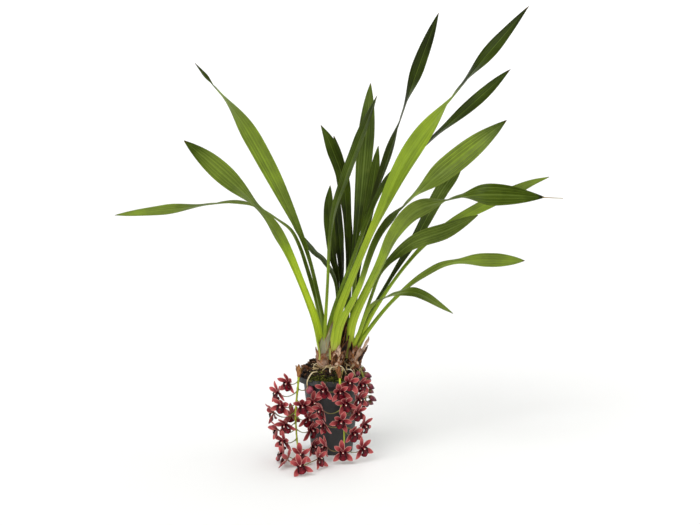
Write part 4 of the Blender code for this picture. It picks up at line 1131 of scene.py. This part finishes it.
# a spike is brown up to the share fresh of its length; its bracts are rows of share, length, half angle,
# flare, turn and tone
Spike = namedtuple("Spike", "route flowers joined buds fresh bracts")
SPIKES = {
    "spike_left": Spike(
        [*route(CROWN_RADIUS - 0.006, 204, (RIM_RADIUS - 0.007, 206, OVER),
                (RIM_RADIUS + 0.003, 208, POT_HEIGHT + RIM_LIFT - 0.002),
                (HANG, 211, POT_HEIGHT - COLLAR_HEIGHT), (HANG + 0.007, 212, POT_HEIGHT * 0.55),
                (HANG + 0.005, 213, POT_HEIGHT * 0.20)),
         LANDING + (0.002, -0.012, FLOOR_CLEARANCE + 0.004), LANDING + (0.006, -0.045, FLOOR_CLEARANCE),
         LANDING + (0.012, -0.105, FLOOR_CLEARANCE)],
        LEFT_FLOWERS, LEFT_JOINED, (LONE_BUD,), 0.14,
        ((0.145, -0.026, 1.3, 0.0062, 0.3, 0.50), (0.14, -0.022, 1.2, 0.0070, 2.4, 0.62),
         (0.15, -0.020, 1.1, 0.0060, -1.8, 0.40), (0.01, 0.020, 2.8, 0.0015, 1.0, 0.20))),
    "spike_right": Spike(
        route(CROWN_RADIUS - 0.006, 286, (RIM_RADIUS - 0.006, 284, OVER),
              (HANG - 0.002, 283, POT_HEIGHT + 0.003), (HANG + 0.002, 284, POT_HEIGHT * 0.70),
              (HANG + 0.003, 288, POT_HEIGHT * 0.40), (HANG + 0.006, 287, FLOOR_CLEARANCE + 0.014)),
        RIGHT_FLOWERS, RIGHT_JOINED, (), 0.20,
        ((0.195, -0.027, 1.3, 0.0055, 0.3, 0.32), (0.19, -0.022, 1.2, 0.0062, 2.4, 0.55),
         (0.20, -0.017, 1.0, 0.0050, -1.8, 0.95), (0.02, 0.020, 2.8, 0.0015, 1.0, 0.15))),
    "spike_buds": Spike(
        route(CROWN_RADIUS - 0.004, BUD_SPIKE_AZIMUTH, (RIM_RADIUS - 0.004, BUD_SPIKE_AZIMUTH, OVER),
              (HANG - 0.001, BUD_SPIKE_AZIMUTH, POT_HEIGHT + 0.003),
              (HANG + 0.004, BUD_SPIKE_AZIMUTH, POT_HEIGHT - BUD_SPIKE_DROP * 0.6),
              (HANG + 0.005, BUD_SPIKE_AZIMUTH - 2, POT_HEIGHT - BUD_SPIKE_DROP)),
        (), (), BUDS, 0.45,
        ((0.0, 0.016, 2.6, 0.002, 1.0, 0.20), (0.20, -0.014, 1.3, 0.004, 0.0, 0.25))),
}


def facing(flower):
    """The unit direction in which a flower looks."""
    tilt = math.radians(flower.tilt)
    return polar(math.cos(tilt), flower.look, math.sin(tilt))


def flower_back(curve, flower):
    """The point at the end of a flower's stalk."""
    return curve(flower.share) + polar(flower.reach, flower.azimuth, flower.rise) * SEPAL


def flower_matrix(curve, flower):
    """Where a flower sits: its back at the end of its stalk, its face along its direction."""
    look = facing(flower)
    up = unit(np.array([0, 0, 1]) - look[2] * look)
    frame = np.eye(4)
    frame[:3, :3] = np.stack([np.cross(up, look), up, look], axis=1)
    frame[:3, 3] = flower_back(curve, flower)
    return frame @ np.array(Matrix.Rotation(math.radians(flower.spin), 4, "Z"))


def swept(angle, length):
    """A bent spine: the running sums of the cosine and the sine of its slope, which is a column."""
    middle = (angle[1:] + angle[:-1]) / 2
    step = length / (len(angle) - 1)
    return [np.concatenate([[[0]], np.cumsum(f(middle), axis=0)]) * step for f in (np.cos, np.sin)]


def tepal_grid(length, width, widest, heading, lift, bend, hook, cup, twist, tone, rng):
    """A petal or sepal: its spine leaves the flower's axis at an angle and bends towards the front, its
    half width swells to its widest place and closes at the tip, and its section is cupped and twisted."""
    s, v = lattice(20, 11)
    angle = lift + bend * s + hook * s**4
    out, front = swept(angle, length)
    swell = 0.42 + 0.58 * np.sin(math.pi / 2 * np.clip(s / widest, 0, 1))
    close = np.cos(math.pi / 2 * np.clip((s - widest) / (1 - widest), 0, 1)) ** 0.72
    half = width / 2 * swell * close
    wave = 0.05 * np.sin(s * 9 + rng.uniform(0, 6)) * v
    side = half * v
    rise = half * (cup * v * v + wave - 0.10 * np.exp(-((v / 0.15) ** 2)))
    turn = twist * s
    across = side * np.cos(turn) - rise * np.sin(turn)
    lifted = side * np.sin(turn) + rise * np.cos(turn)
    reach = 0.0012 + out - lifted * np.sin(angle)
    z = 0.0016 + front + lifted * np.cos(angle)
    x = reach * math.cos(heading) - across * math.sin(heading)
    y = reach * math.sin(heading) + across * math.cos(heading)
    thick = TEPAL_THICKNESS * (1 - 0.55 * np.abs(v) ** 2) * (1 - 0.3 * s)
    return sheet(np.stack([x, y, z], -1), thick, (v + 1) / 2, s, tone)


def lip_grid(length, rng):
    """The lip: it leaves the foot of the column forwards, arches down and hangs; two side lobes stand up
    beside the column, the front lobe is a broad tongue with a round end, and two low keels run down it."""
    s, v = lattice(34, 17)
    angle = eased(((0, 0.15), (0.35, 1.05), (0.6, 1.75), (1, 1.55 + rng.uniform(0, 0.4))), s)
    front, down = swept(angle, length)
    half = eased(((0, 0.0028), (0.22, 0.0088), (0.44, 0.0066), (0.72, 0.0092), (1, 0.0088)), s)
    half = half * np.sqrt(1 - (np.clip(s - 0.70, 0, 0.30) / 0.30) ** 2) * (1 - 0.04 * np.sin(s * 40) * v**2)
    curl = eased(((0, 1.2), (0.25, 1.15), (0.45, 0.5), (0.62, -0.45), (1, -0.8)), s) + 0.01
    x = half * np.sin(curl * v) / curl
    lifted = half * (1 - np.cos(curl * v)) / curl
    keeled = eased(((0.1, 0), (0.2, 1), (0.5, 1), (0.62, 0)), s)
    lifted = lifted + 0.0006 * np.exp(-(((np.abs(v) - 0.28) / 0.12) ** 2)) * keeled
    lifted = lifted + 0.0002 * np.sin(s * 30 + v * 4)
    y = -0.0008 - down + lifted * np.cos(angle)
    z = 0.0024 + front + lifted * np.sin(angle)
    return sheet(np.stack([x, y, z], -1), LIP_THICKNESS, (v + 1) / 2, s, paint=LIP)


def column_grids():
    """The column: an arched club above the lip, with the anther cap at its end."""
    share = np.linspace(0, 1, 14)
    front, down = swept(-0.15 + 0.75 * share[:, None], 0.0098)
    path = np.concatenate([0 * front, 0.0010 - down, 0.0010 + front], axis=1)
    radius = eased(((0, 0.0019), (0.5, 0.0014), (0.9, 0.0017), (1, 0.0012)), share)
    rise = np.linspace(-math.pi / 2, math.pi / 2, 9)
    profile = np.stack([0.0013 * np.cos(rise), 0.0012 * np.sin(rise)], -1)
    profile[[0, -1], 0] = 0
    place = Matrix.Translation(path[-1] + (0, -0.0004, 0.0003))
    return [tube(path, radius, 12, paint=COLUMN), moved(turned(profile, 12, paint=CAP), place)]


def resting(grid):
    """The grid with its heights eased to stay over the surface that the pot stands on: the height becomes
    ease * log(1 + exp(height / ease))."""
    ease = 0.0007
    points = grid.points.copy()
    points[..., 2] = ease * np.logaddexp(0, points[..., 2] / ease)
    return grid._replace(points=points)


def flower_grids(curve, flower, settings, rng):
    """An open flower in its place. It is made facing +Z with its top at +Y: three sepals, two petals, lip
    and column. Its petals and sepals are hooded forward by an amount that differs between flowers."""
    hood = rng.uniform(0.0, 1.0)
    shade = rng.uniform(-0.10, 0.12)
    sepal, petal = settings.sepal_length, settings.petal_length
    grids = []
    # heading, length, share of the width, lift, bend, twist, and shares of the hood in lift and bend
    for heading, length, share, lift, bend, twist, lifted, bent in (
        (90, sepal, 1.00, 0.10, 0.35, 0.0, 1, 1), (-42, sepal * 1.04, 1.06, -0.05, 0.22, 0.25, 0.4, 0.3),
        (-138, sepal * 1.04, 1.06, -0.05, 0.22, -0.25, 0.4, 0.3), (33, petal, 0.92, 0.12, 0.38, -0.25, 1, 1),
        (147, petal, 0.92, 0.12, 0.38, 0.25, 1, 1),
    ):
        lift = lift + 0.28 * hood * lifted + rng.normal(0, 0.07)
        bend = bend + 0.35 * hood * bent + rng.normal(0, 0.10)
        grids.append(tepal_grid(
            length * rng.uniform(0.95, 1.05), settings.tepal_width * share * rng.uniform(0.94, 1.06),
            rng.uniform(0.52, 0.60), math.radians(heading + rng.normal(0, 4)), lift, bend,
            rng.uniform(-0.9, 0.3), rng.uniform(0.10, 0.34), twist + rng.normal(0, 0.12),
            shade + rng.uniform(-0.05, 0.05), rng))
    grids += [lip_grid(settings.lip_length * rng.uniform(0.96, 1.04), rng), *column_grids()]
    matrix = flower_matrix(curve, flower)
    return [resting(moved(grid, matrix)) for grid in grids]


def bud_grid(length, radius, tone):
    """A closed bud along +Z: a pointed egg with three low ridges, bent a little to one side."""
    u = np.linspace(0, 1, 22)
    size = np.sin(math.pi * u**0.78) ** 0.8 * radius + 0.0003
    size[[0, -1]] = 0.0008, 0.0004
    path = np.stack([0.06 * length * np.sin(math.pi * u), 0 * u, length * u], -1)
    return tube(path, size, 18, tone=tone, paint=BUD, ribs=3, rib_depth=0.06)


def stalklet_grids(curve, flower, is_bud, rng):
    """One flower's stalk and the small bract under it: it leaves the spike, sags and rises to the back."""
    base = curve(flower.share)
    look = facing(flower)
    end = flower_back(curve, flower) + (0 if is_bud else 0.0006) * look
    out = unit(end - base)
    reach = np.linalg.norm(end - base)
    begin = base + out * STEM_RADIUS * 0.3
    sag = np.array([0, 0, -min(0.34 * reach, max(0.0, begin[2] - 0.003))])
    path = bezier(begin, begin + out * reach * 0.35 + sag, end - look * reach * 0.3 + sag, end, 22)
    share = np.linspace(0, 1, 22)
    radius = eased(((0, 0.0011), (0.5, 0.0008), (0.85, 0.0012), (1, 0.0011 if is_bud else 0.0015)), share)
    tone = eased(((0, 0.42), (0.5, 0.62), (1, 0.92)), share)
    u, v = lattice(9, 7)
    along = unit(path[3] - path[0])
    side = unit(np.cross(along, (0, 0, 1.0)))
    under = np.cross(side, along)
    half = 0.0019 * (1 - u) ** 0.7 + 0.0001
    rise = 0.0013 + 0.0008 * u - 0.5 * half * v * v
    points = (base + along * (0.0010 + 0.0048 * u)[..., None] + side * (half * v)[..., None]
              - under * rise[..., None])
    return [tube(path, radius, 10, tone=tone, ribs=3, rib_depth=0.10),
            sheet(points, BRACT_THICKNESS, (v + 1) / 2, u, 0.70 + rng.uniform(-0.1, 0.15))]


def stem_grids(curve, spike, settings, rng):
    """The spike's axis, slightly ribbed and swollen at its flowers, with all its stalks and its buds."""
    share = np.linspace(0, 1, max(60, int(curve.length / 0.002)))
    radius = STEM_RADIUS + (STEM_TIP_RADIUS - STEM_RADIUS) * share
    knots = np.array([f.share for f in (*spike.flowers, *spike.buds)])
    swell = np.exp(-(((share[:, None] - knots[None, :]) * curve.length / 0.0022) ** 2)).max(axis=1)
    brown = eased(((0.4 * spike.fresh, 1), (spike.fresh, 0)), share)
    tone = 0.05 + 0.25 * swell + 0.1 * np.sin(share * 17) + 0.8 * brown
    grids = [tube(curve(share), radius * (1 + 0.22 * swell), 14, tone=tone, ribs=5, rib_depth=0.05)]
    for flower in spike.flowers:
        grids += stalklet_grids(curve, flower, False, rng)
    for flower in spike.buds:
        grids += stalklet_grids(curve, flower, True, rng)
        frame = Vector(facing(flower)).to_track_quat("Z", "Y").to_matrix().to_4x4()
        frame.translation = Vector(flower_back(curve, flower))
        # the lone bud is larger, plumper and rosy
        larger, plumper, rosy = (1.25, 1.55, 1.0) if flower is LONE_BUD else (1.0, 1.0, 0.0)
        size = rng.uniform(0.88, 1.08) * larger
        bud = bud_grid(settings.bud_length * size, settings.bud_radius * size * plumper, rosy)
        grids.append(moved(bud, frame))
    return grids


def stem_bracts(curve, places, rng):
    """Papery bracts on the spike: pointed sheets wrapped around the axis that stand off it towards their
    tips. They follow the spike or, where the length is negative, point straight back and stand up."""
    grids = []
    u, v = lattice(20, 13)
    for at, length, wide, flare, turn, tone in places:
        share = np.clip(at + np.maximum(u[:, 0] * length, 0) / curve.length, 0, 1)
        along = unit(curve(share + 0.01) - curve(share - 0.01))
        centre = curve(share) + along * np.minimum(u * length, 0)
        side = unit(np.cross(along, (1.0, 0.3, 0)))
        other = np.cross(along, side)
        angle = (wide * (1 - u**1.6) * v + turn + 0.3 * u * rng.uniform(-1, 1))[..., None]
        ragged = 1 + 0.12 * np.sin(v * 9 + turn) * u**4
        radius = STEM_RADIUS + 0.0005 + flare * u**1.2 + 0.0006 * np.sin(u * 14 + v * 3 + turn)
        around = side[:, None] * np.cos(angle) + other[:, None] * np.sin(angle)
        points = centre[:, None] + around * (radius * ragged)[..., None]
        grids.append(sheet(points, BRACT_THICKNESS, (v + 1) / 2, u, tone, paint=BRACT))
    return grids


# ---- Settings ------------------------------------------------------------------------------------


def colour_property(label, description, text):
    """A colour from six hexadecimal digits."""
    return FloatVectorProperty(name=label, description=description, subtype="COLOR", size=3, min=0.0, max=1.0,
                               default=colour(text))


def length_property(label, description, metres):
    """A length in metres."""
    return FloatProperty(name=label, description=description, default=metres, unit="LENGTH", min=0.0)


def count_property(label, description, count, least=0):
    """A whole number."""
    return IntProperty(name=label, description=description, default=count, subtype="UNSIGNED", min=least)


def strength_property(label, description, strength):
    """The strength of a light."""
    return FloatProperty(name=label, description=description, default=strength, subtype="FACTOR", min=0.0,
                         max=10.0)


class OrchidPotSettings(bpy.types.PropertyGroup):
    colour: colour_property("Colour", "Colour of the pot's plastic", "2e2f31")
    dust: colour_property("Dust", "Colour of the paler clouds in the plastic", "3b3d3d")


class OrchidMixSettings(bpy.types.PropertyGroup):
    chips: count_property("Chips", "Number of bark chips on the crown", 720)
    moss: count_property("Moss", "Number of moss strands", 1500)
    roots: count_property("Roots", "Number of thin roots over the bark", 70)


class OrchidLeafSettings(bpy.types.PropertyGroup):
    rows: count_property("Rows", "Rows of the surface along a leaf", 150, 20)
    columns: count_property("Columns", "Columns across a leaf", 31, 5)
    vein_depth: length_property("Vein Depth", "Height of the pleats along the veins", 0.00028)
    stalk: colour_property("Stalk", "Colour of the freshest stalks", "c8dc3a")
    blade: colour_property("Blade", "Colour of a middling blade", "68792e")
    # deep is reached by the darkest blades and by the painted shade on the back leaves
    deep: colour_property("Deep", "Colour of the darkest blades", "171c02")
    underside: colour_property("Underside", "Colour that the undersides are flushed with", "7c8c3e")
    gloss: FloatProperty(name="Roughness", description="Roughness of the upper side", default=0.30, min=0.0,
                         max=1.0, subtype="FACTOR")


class OrchidFlowerSettings(bpy.types.PropertyGroup):
    sepal_length: length_property("Sepal Length", "Length of a sepal", 0.0245)
    petal_length: length_property("Petal Length", "Length of a petal", 0.0228)
    tepal_width: length_property("Width", "Width of a sepal", 0.0106)
    lip_length: length_property("Lip Length", "Length of the lip along its curve", 0.0205)
    bud_length: length_property("Bud Length", "Length of a closed bud", 0.0162)
    bud_radius: length_property("Bud Radius", "Radius of a closed bud", 0.0047)
    heart: colour_property("Heart", "Colour of the petals at their feet", "68131f")
    tepal: colour_property("Petal", "Colour of the petals and sepals", "ab4446")
    margin: colour_property("Margin", "Colour of their thin margins", "dfa195")
    lip: colour_property("Lip", "Colour of the lip", "680a1a")


class OrchidStageSettings(bpy.types.PropertyGroup):
    target: FloatVectorProperty(name="Target", description="The point that the camera looks at", size=3,
                                subtype="TRANSLATION", unit="LENGTH", default=(0.037, 0.0, 0.388))
    distance: length_property("Distance", "From the camera to its target", 3.0)
    elevation: FloatProperty(name="Elevation", description="How far the camera looks down", subtype="ANGLE",
                             unit="ROTATION", default=math.radians(10))
    lens: FloatProperty(name="Lens", description="Focal length", default=77.14, unit="CAMERA", min=1)
    floor: colour_property("Floor", "Colour of the floor", "f4f4f3")
    sky: strength_property("Surround Light", "Strength of the light from all around", 0.55)
    key: strength_property("Key Light", "Strength of the light from the front left", 1.9)
    fill: strength_property("Fill Light", "Strength of the light from behind", 1.0)


# ---- Operators -----------------------------------------------------------------------------------

MIX_SEED, MOSS_SEED, ROOT_SEED, GROWTH_SEED, LEAF_SEED, SPIKE_SEED, FLOWER_SEED = 11, 12, 13, 30, 50, 90, 200


def flower_materials(settings):
    """The materials of a flower, in the order of their slots."""
    return [tepal_finish(settings), lip_finish(settings), column_finish(), cap_finish()]


class ORCHID_OT_pot(bpy.types.Operator):
    """Make the pot with its collar and drain slots"""

    bl_idname = "orchid.pot"
    bl_label = "Pot"

    def execute(self, context):
        material = pot_finish(context.scene.orchid_pot)
        make_piece("growing_pot", pot_grids(), [material], "pot", sharp=35)
        return {"FINISHED"}


class ORCHID_OT_mix(bpy.types.Operator):
    """Make the root ball and the bark chips on its crown"""

    bl_idname = "orchid.mix"
    bl_label = "Potting Mix"

    def execute(self, context):
        rng = np.random.default_rng(MIX_SEED)
        grids = [mix_body(), *chip_grids(context.scene.orchid_mix.chips, rng)]
        make_piece("bark_and_root_ball", grids, [bark_finish()], "potting_mix", sharp=40)
        return {"FINISHED"}


class ORCHID_OT_moss(bpy.types.Operator):
    """Make the moss along the front of the rim"""

    bl_idname = "orchid.moss"
    bl_label = "Moss"

    def execute(self, context):
        rng = np.random.default_rng(MOSS_SEED)
        grids = [moss_mat(), *moss_grids(context.scene.orchid_mix.moss, rng)]
        make_piece("moss_mat", grids, [moss_finish()], "moss")
        return {"FINISHED"}


class ORCHID_OT_roots(bpy.types.Operator):
    """Make the root over the rim and the thin roots on the bark"""

    bl_idname = "orchid.roots"
    bl_label = "Roots"

    def execute(self, context):
        rng = np.random.default_rng(ROOT_SEED)
        grids = [rim_root(), *crown_roots(context.scene.orchid_mix.roots, rng)]
        make_piece("roots", grids, [root_finish()], "aerial_root")
        return {"FINISHED"}


class ORCHID_OT_growths(bpy.types.Operator):
    """Make the swollen shoots in their papery scales"""

    bl_idname = "orchid.growths"
    bl_label = "Growths"

    def execute(self, context):
        material = sheath_finish()
        for k, (name, growth) in enumerate(GROWTHS.items()):
            rng = np.random.default_rng(GROWTH_SEED + k)
            make_piece("shoot_" + name, growth_grids(name, growth, rng), [material], "growth_" + name,
                       sharp=70)
        return {"FINISHED"}


class ORCHID_OT_leaves(bpy.types.Operator):
    """Make the leaves of every growth"""

    bl_idname = "orchid.leaves"
    bl_label = "Leaves"

    def execute(self, context):
        settings = context.scene.orchid_leaf
        material = leaf_finish(settings)
        seed = LEAF_SEED
        for name, growth in GROWTHS.items():
            top = np.array([growth.x, growth.y, CROWN_HEIGHT + GROWTH_HEIGHT + GAP * 2])
            count = len(growth.leaves)
            for i, leaf in enumerate(growth.leaves):
                seed += 1
                start = top + ((i - (count - 1) / 2) * LEAF_PITCH, 0, 0)
                grid = leaf_grid(leaf, start, top, settings, np.random.default_rng(seed))
                make_piece(f"blade_{name}_{i + 1}", [grid], [material], f"leaf_{name}_{i + 1}")
        return {"FINISHED"}


class ORCHID_OT_spikes(bpy.types.Operator):
    """Make the three flower spikes with their stalks, bracts, buds and rearmost flowers"""

    bl_idname = "orchid.spikes"
    bl_label = "Spikes"

    def execute(self, context):
        settings = context.scene.orchid_flower
        tepal, *others = flower_materials(settings)
        materials = [stem_finish(), *others, tepal, bud_finish(), bract_finish()]
        for k, (name, spike) in enumerate(SPIKES.items()):
            rng = np.random.default_rng(SPIKE_SEED + k)
            curve = smooth_curve(spike.route)
            grids = stem_grids(curve, spike, settings, rng)
            for flower in spike.joined:
                grids += stalklet_grids(curve, flower, False, rng)
                made = flower_grids(curve, flower, settings, rng)
                grids += [grid._replace(paint=grid.paint or TEPAL) for grid in made]
            grids += stem_bracts(curve, spike.bracts, rng)
            make_piece(name + "_stem", grids, materials, name)
        return {"FINISHED"}


class ORCHID_OT_flowers(bpy.types.Operator):
    """Make every open flower in front"""

    bl_idname = "orchid.flowers"
    bl_label = "Flowers"

    def execute(self, context):
        settings = context.scene.orchid_flower
        materials = flower_materials(settings)
        seed = FLOWER_SEED
        for name, spike in SPIKES.items():
            curve = smooth_curve(spike.route)
            for i, flower in enumerate(spike.flowers, 1):
                seed += 1
                grids = flower_grids(curve, flower, settings, np.random.default_rng(seed))
                make_piece(f"{name.replace('spike', 'bloom')}_{i:02d}", grids, materials,
                           f"{name}_flower_{i:02d}")
        return {"FINISHED"}


FLOOR_RADIUS = 9.0  # the floor is flat up to here, and curves up into a wall beyond
FLOOR_BEND = 2.0
WALL_HEIGHT = 6.0
FLOOR_DROP = 0.0002  # the floor lies this far under the pot
# where each sun shines from, and how many degrees wide it is
KEY_SUN = ((-0.55, -0.85, 0.95), 50)
FILL_SUN = ((0.75, 0.55, 0.9), 70)


def stage_floor(settings):
    """A white disc with a wall around it: a profile of a flat run, a quarter of a circle and a rise, turned
    about +Z."""
    rise = np.radians(np.linspace(0, 90, 16))[1:]
    flat = np.linspace(0, FLOOR_RADIUS, 12)
    out = np.concatenate([flat, FLOOR_RADIUS + FLOOR_BEND * np.sin(rise), [FLOOR_RADIUS + FLOOR_BEND]])
    high = np.concatenate([0 * flat, FLOOR_BEND * (1 - np.cos(rise)), [WALL_HEIGHT]])
    turn = np.linspace(0, 2 * math.pi, 97)[None, :]
    points = np.stack([out[:, None] * np.cos(turn), out[:, None] * np.sin(turn),
                       high[:, None] + 0 * turn - FLOOR_DROP], -1)
    rows, columns = points.shape[:2]
    index = np.arange(rows * columns).reshape(rows, columns)
    cells = np.stack([index[:-1, :-1], index[1:, :-1], index[1:, 1:], index[:-1, 1:]], -1).reshape(-1, 4)
    mesh = bpy.data.meshes.new("floor")
    mesh.from_pydata(points.reshape(-1, 3).tolist(), [], cells.tolist())
    finish = Finish("floor_white", roughness=0.9, specular_ior_level=0.05)
    cloud = finish.between(finish.noise(0.7), 0.3, 0.7, 0, 0.03)
    mesh.materials.append(finish.done(finish.mix(cloud, settings.floor, "e6e6e6")))
    mesh.shade_smooth()
    linked("floor", mesh)


def add_sun(name, toward, softness, strength):
    """A soft parallel light that shines from the direction toward."""
    data = bpy.data.lights.new(name, "SUN")
    data.energy = strength
    data.angle = math.radians(softness)
    linked(name, data).rotation_euler = Vector(toward).to_track_quat("Z", "Y").to_euler()


class ORCHID_OT_stage(bpy.types.Operator):
    """Make the floor, the lights and the camera"""

    bl_idname = "orchid.stage"
    bl_label = "Stage"

    def execute(self, context):
        settings = context.scene.orchid_stage
        stage_floor(settings)
        world = bpy.data.worlds.new("studio")
        world.use_nodes = True
        surround = world.node_tree.nodes["Background"].inputs
        surround["Color"].default_value = (1.0, 1.0, 1.0, 1.0)
        surround["Strength"].default_value = settings.sky
        context.scene.world = world
        add_sun("key", *KEY_SUN, settings.key)
        add_sun("fill", *FILL_SUN, settings.fill)
        data = bpy.data.cameras.new("camera")
        data.lens = settings.lens
        data.sensor_width = 36.0
        data.clip_end = 100.0
        camera = linked("camera", data)
        away = Vector((0, -math.cos(settings.elevation), math.sin(settings.elevation)))
        camera.location = Vector(settings.target) + away * settings.distance
        camera.rotation_euler = (-away).to_track_quat("-Z", "Y").to_euler()
        context.scene.camera = camera
        context.scene.view_settings.view_transform = "Standard"
        return {"FINISHED"}


OPERATORS = (
    ORCHID_OT_pot, ORCHID_OT_mix, ORCHID_OT_moss, ORCHID_OT_roots, ORCHID_OT_growths, ORCHID_OT_leaves,
    ORCHID_OT_spikes, ORCHID_OT_flowers, ORCHID_OT_stage,
)
SETTINGS = {
    "orchid_pot": OrchidPotSettings,
    "orchid_mix": OrchidMixSettings,
    "orchid_leaf": OrchidLeafSettings,
    "orchid_flower": OrchidFlowerSettings,
    "orchid_stage": OrchidStageSettings,
}


class ORCHID_PT_pieces(bpy.types.Panel):
    """The orchid's pieces, one button each"""

    bl_label = "Potted Orchid"
    bl_idname = "ORCHID_PT_pieces"
    bl_space_type = "VIEW_3D"
    bl_region_type = "UI"
    bl_category = "Orchid"

    def draw(self, context):
        column = self.layout.column(align=True)
        for operator in OPERATORS:
            column.operator(operator.bl_idname)
        for label, group in SETTINGS.items():
            box = self.layout.box()
            for field in group.__annotations__:
                box.prop(getattr(context.scene, label), field)


def register():
    """Register the classes and put their settings on the scene."""
    for group in (*SETTINGS.values(), *OPERATORS, ORCHID_PT_pieces):
        bpy.utils.register_class(group)
    for label, group in SETTINGS.items():
        setattr(bpy.types.Scene, label, PointerProperty(type=group))


def unregister():
    """Take the settings off the scene and the classes out."""
    for label in SETTINGS:
        delattr(bpy.types.Scene, label)
    for group in (ORCHID_PT_pieces, *OPERATORS, *reversed(list(SETTINGS.values()))):
        bpy.utils.unregister_class(group)


def main():
    """Make every piece and the stage."""
    register()
    for operator in OPERATORS:
        group, name = operator.bl_idname.split(".")
        getattr(getattr(bpy.ops, group), name)()
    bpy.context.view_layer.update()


if __name__ == "__main__":
    main()
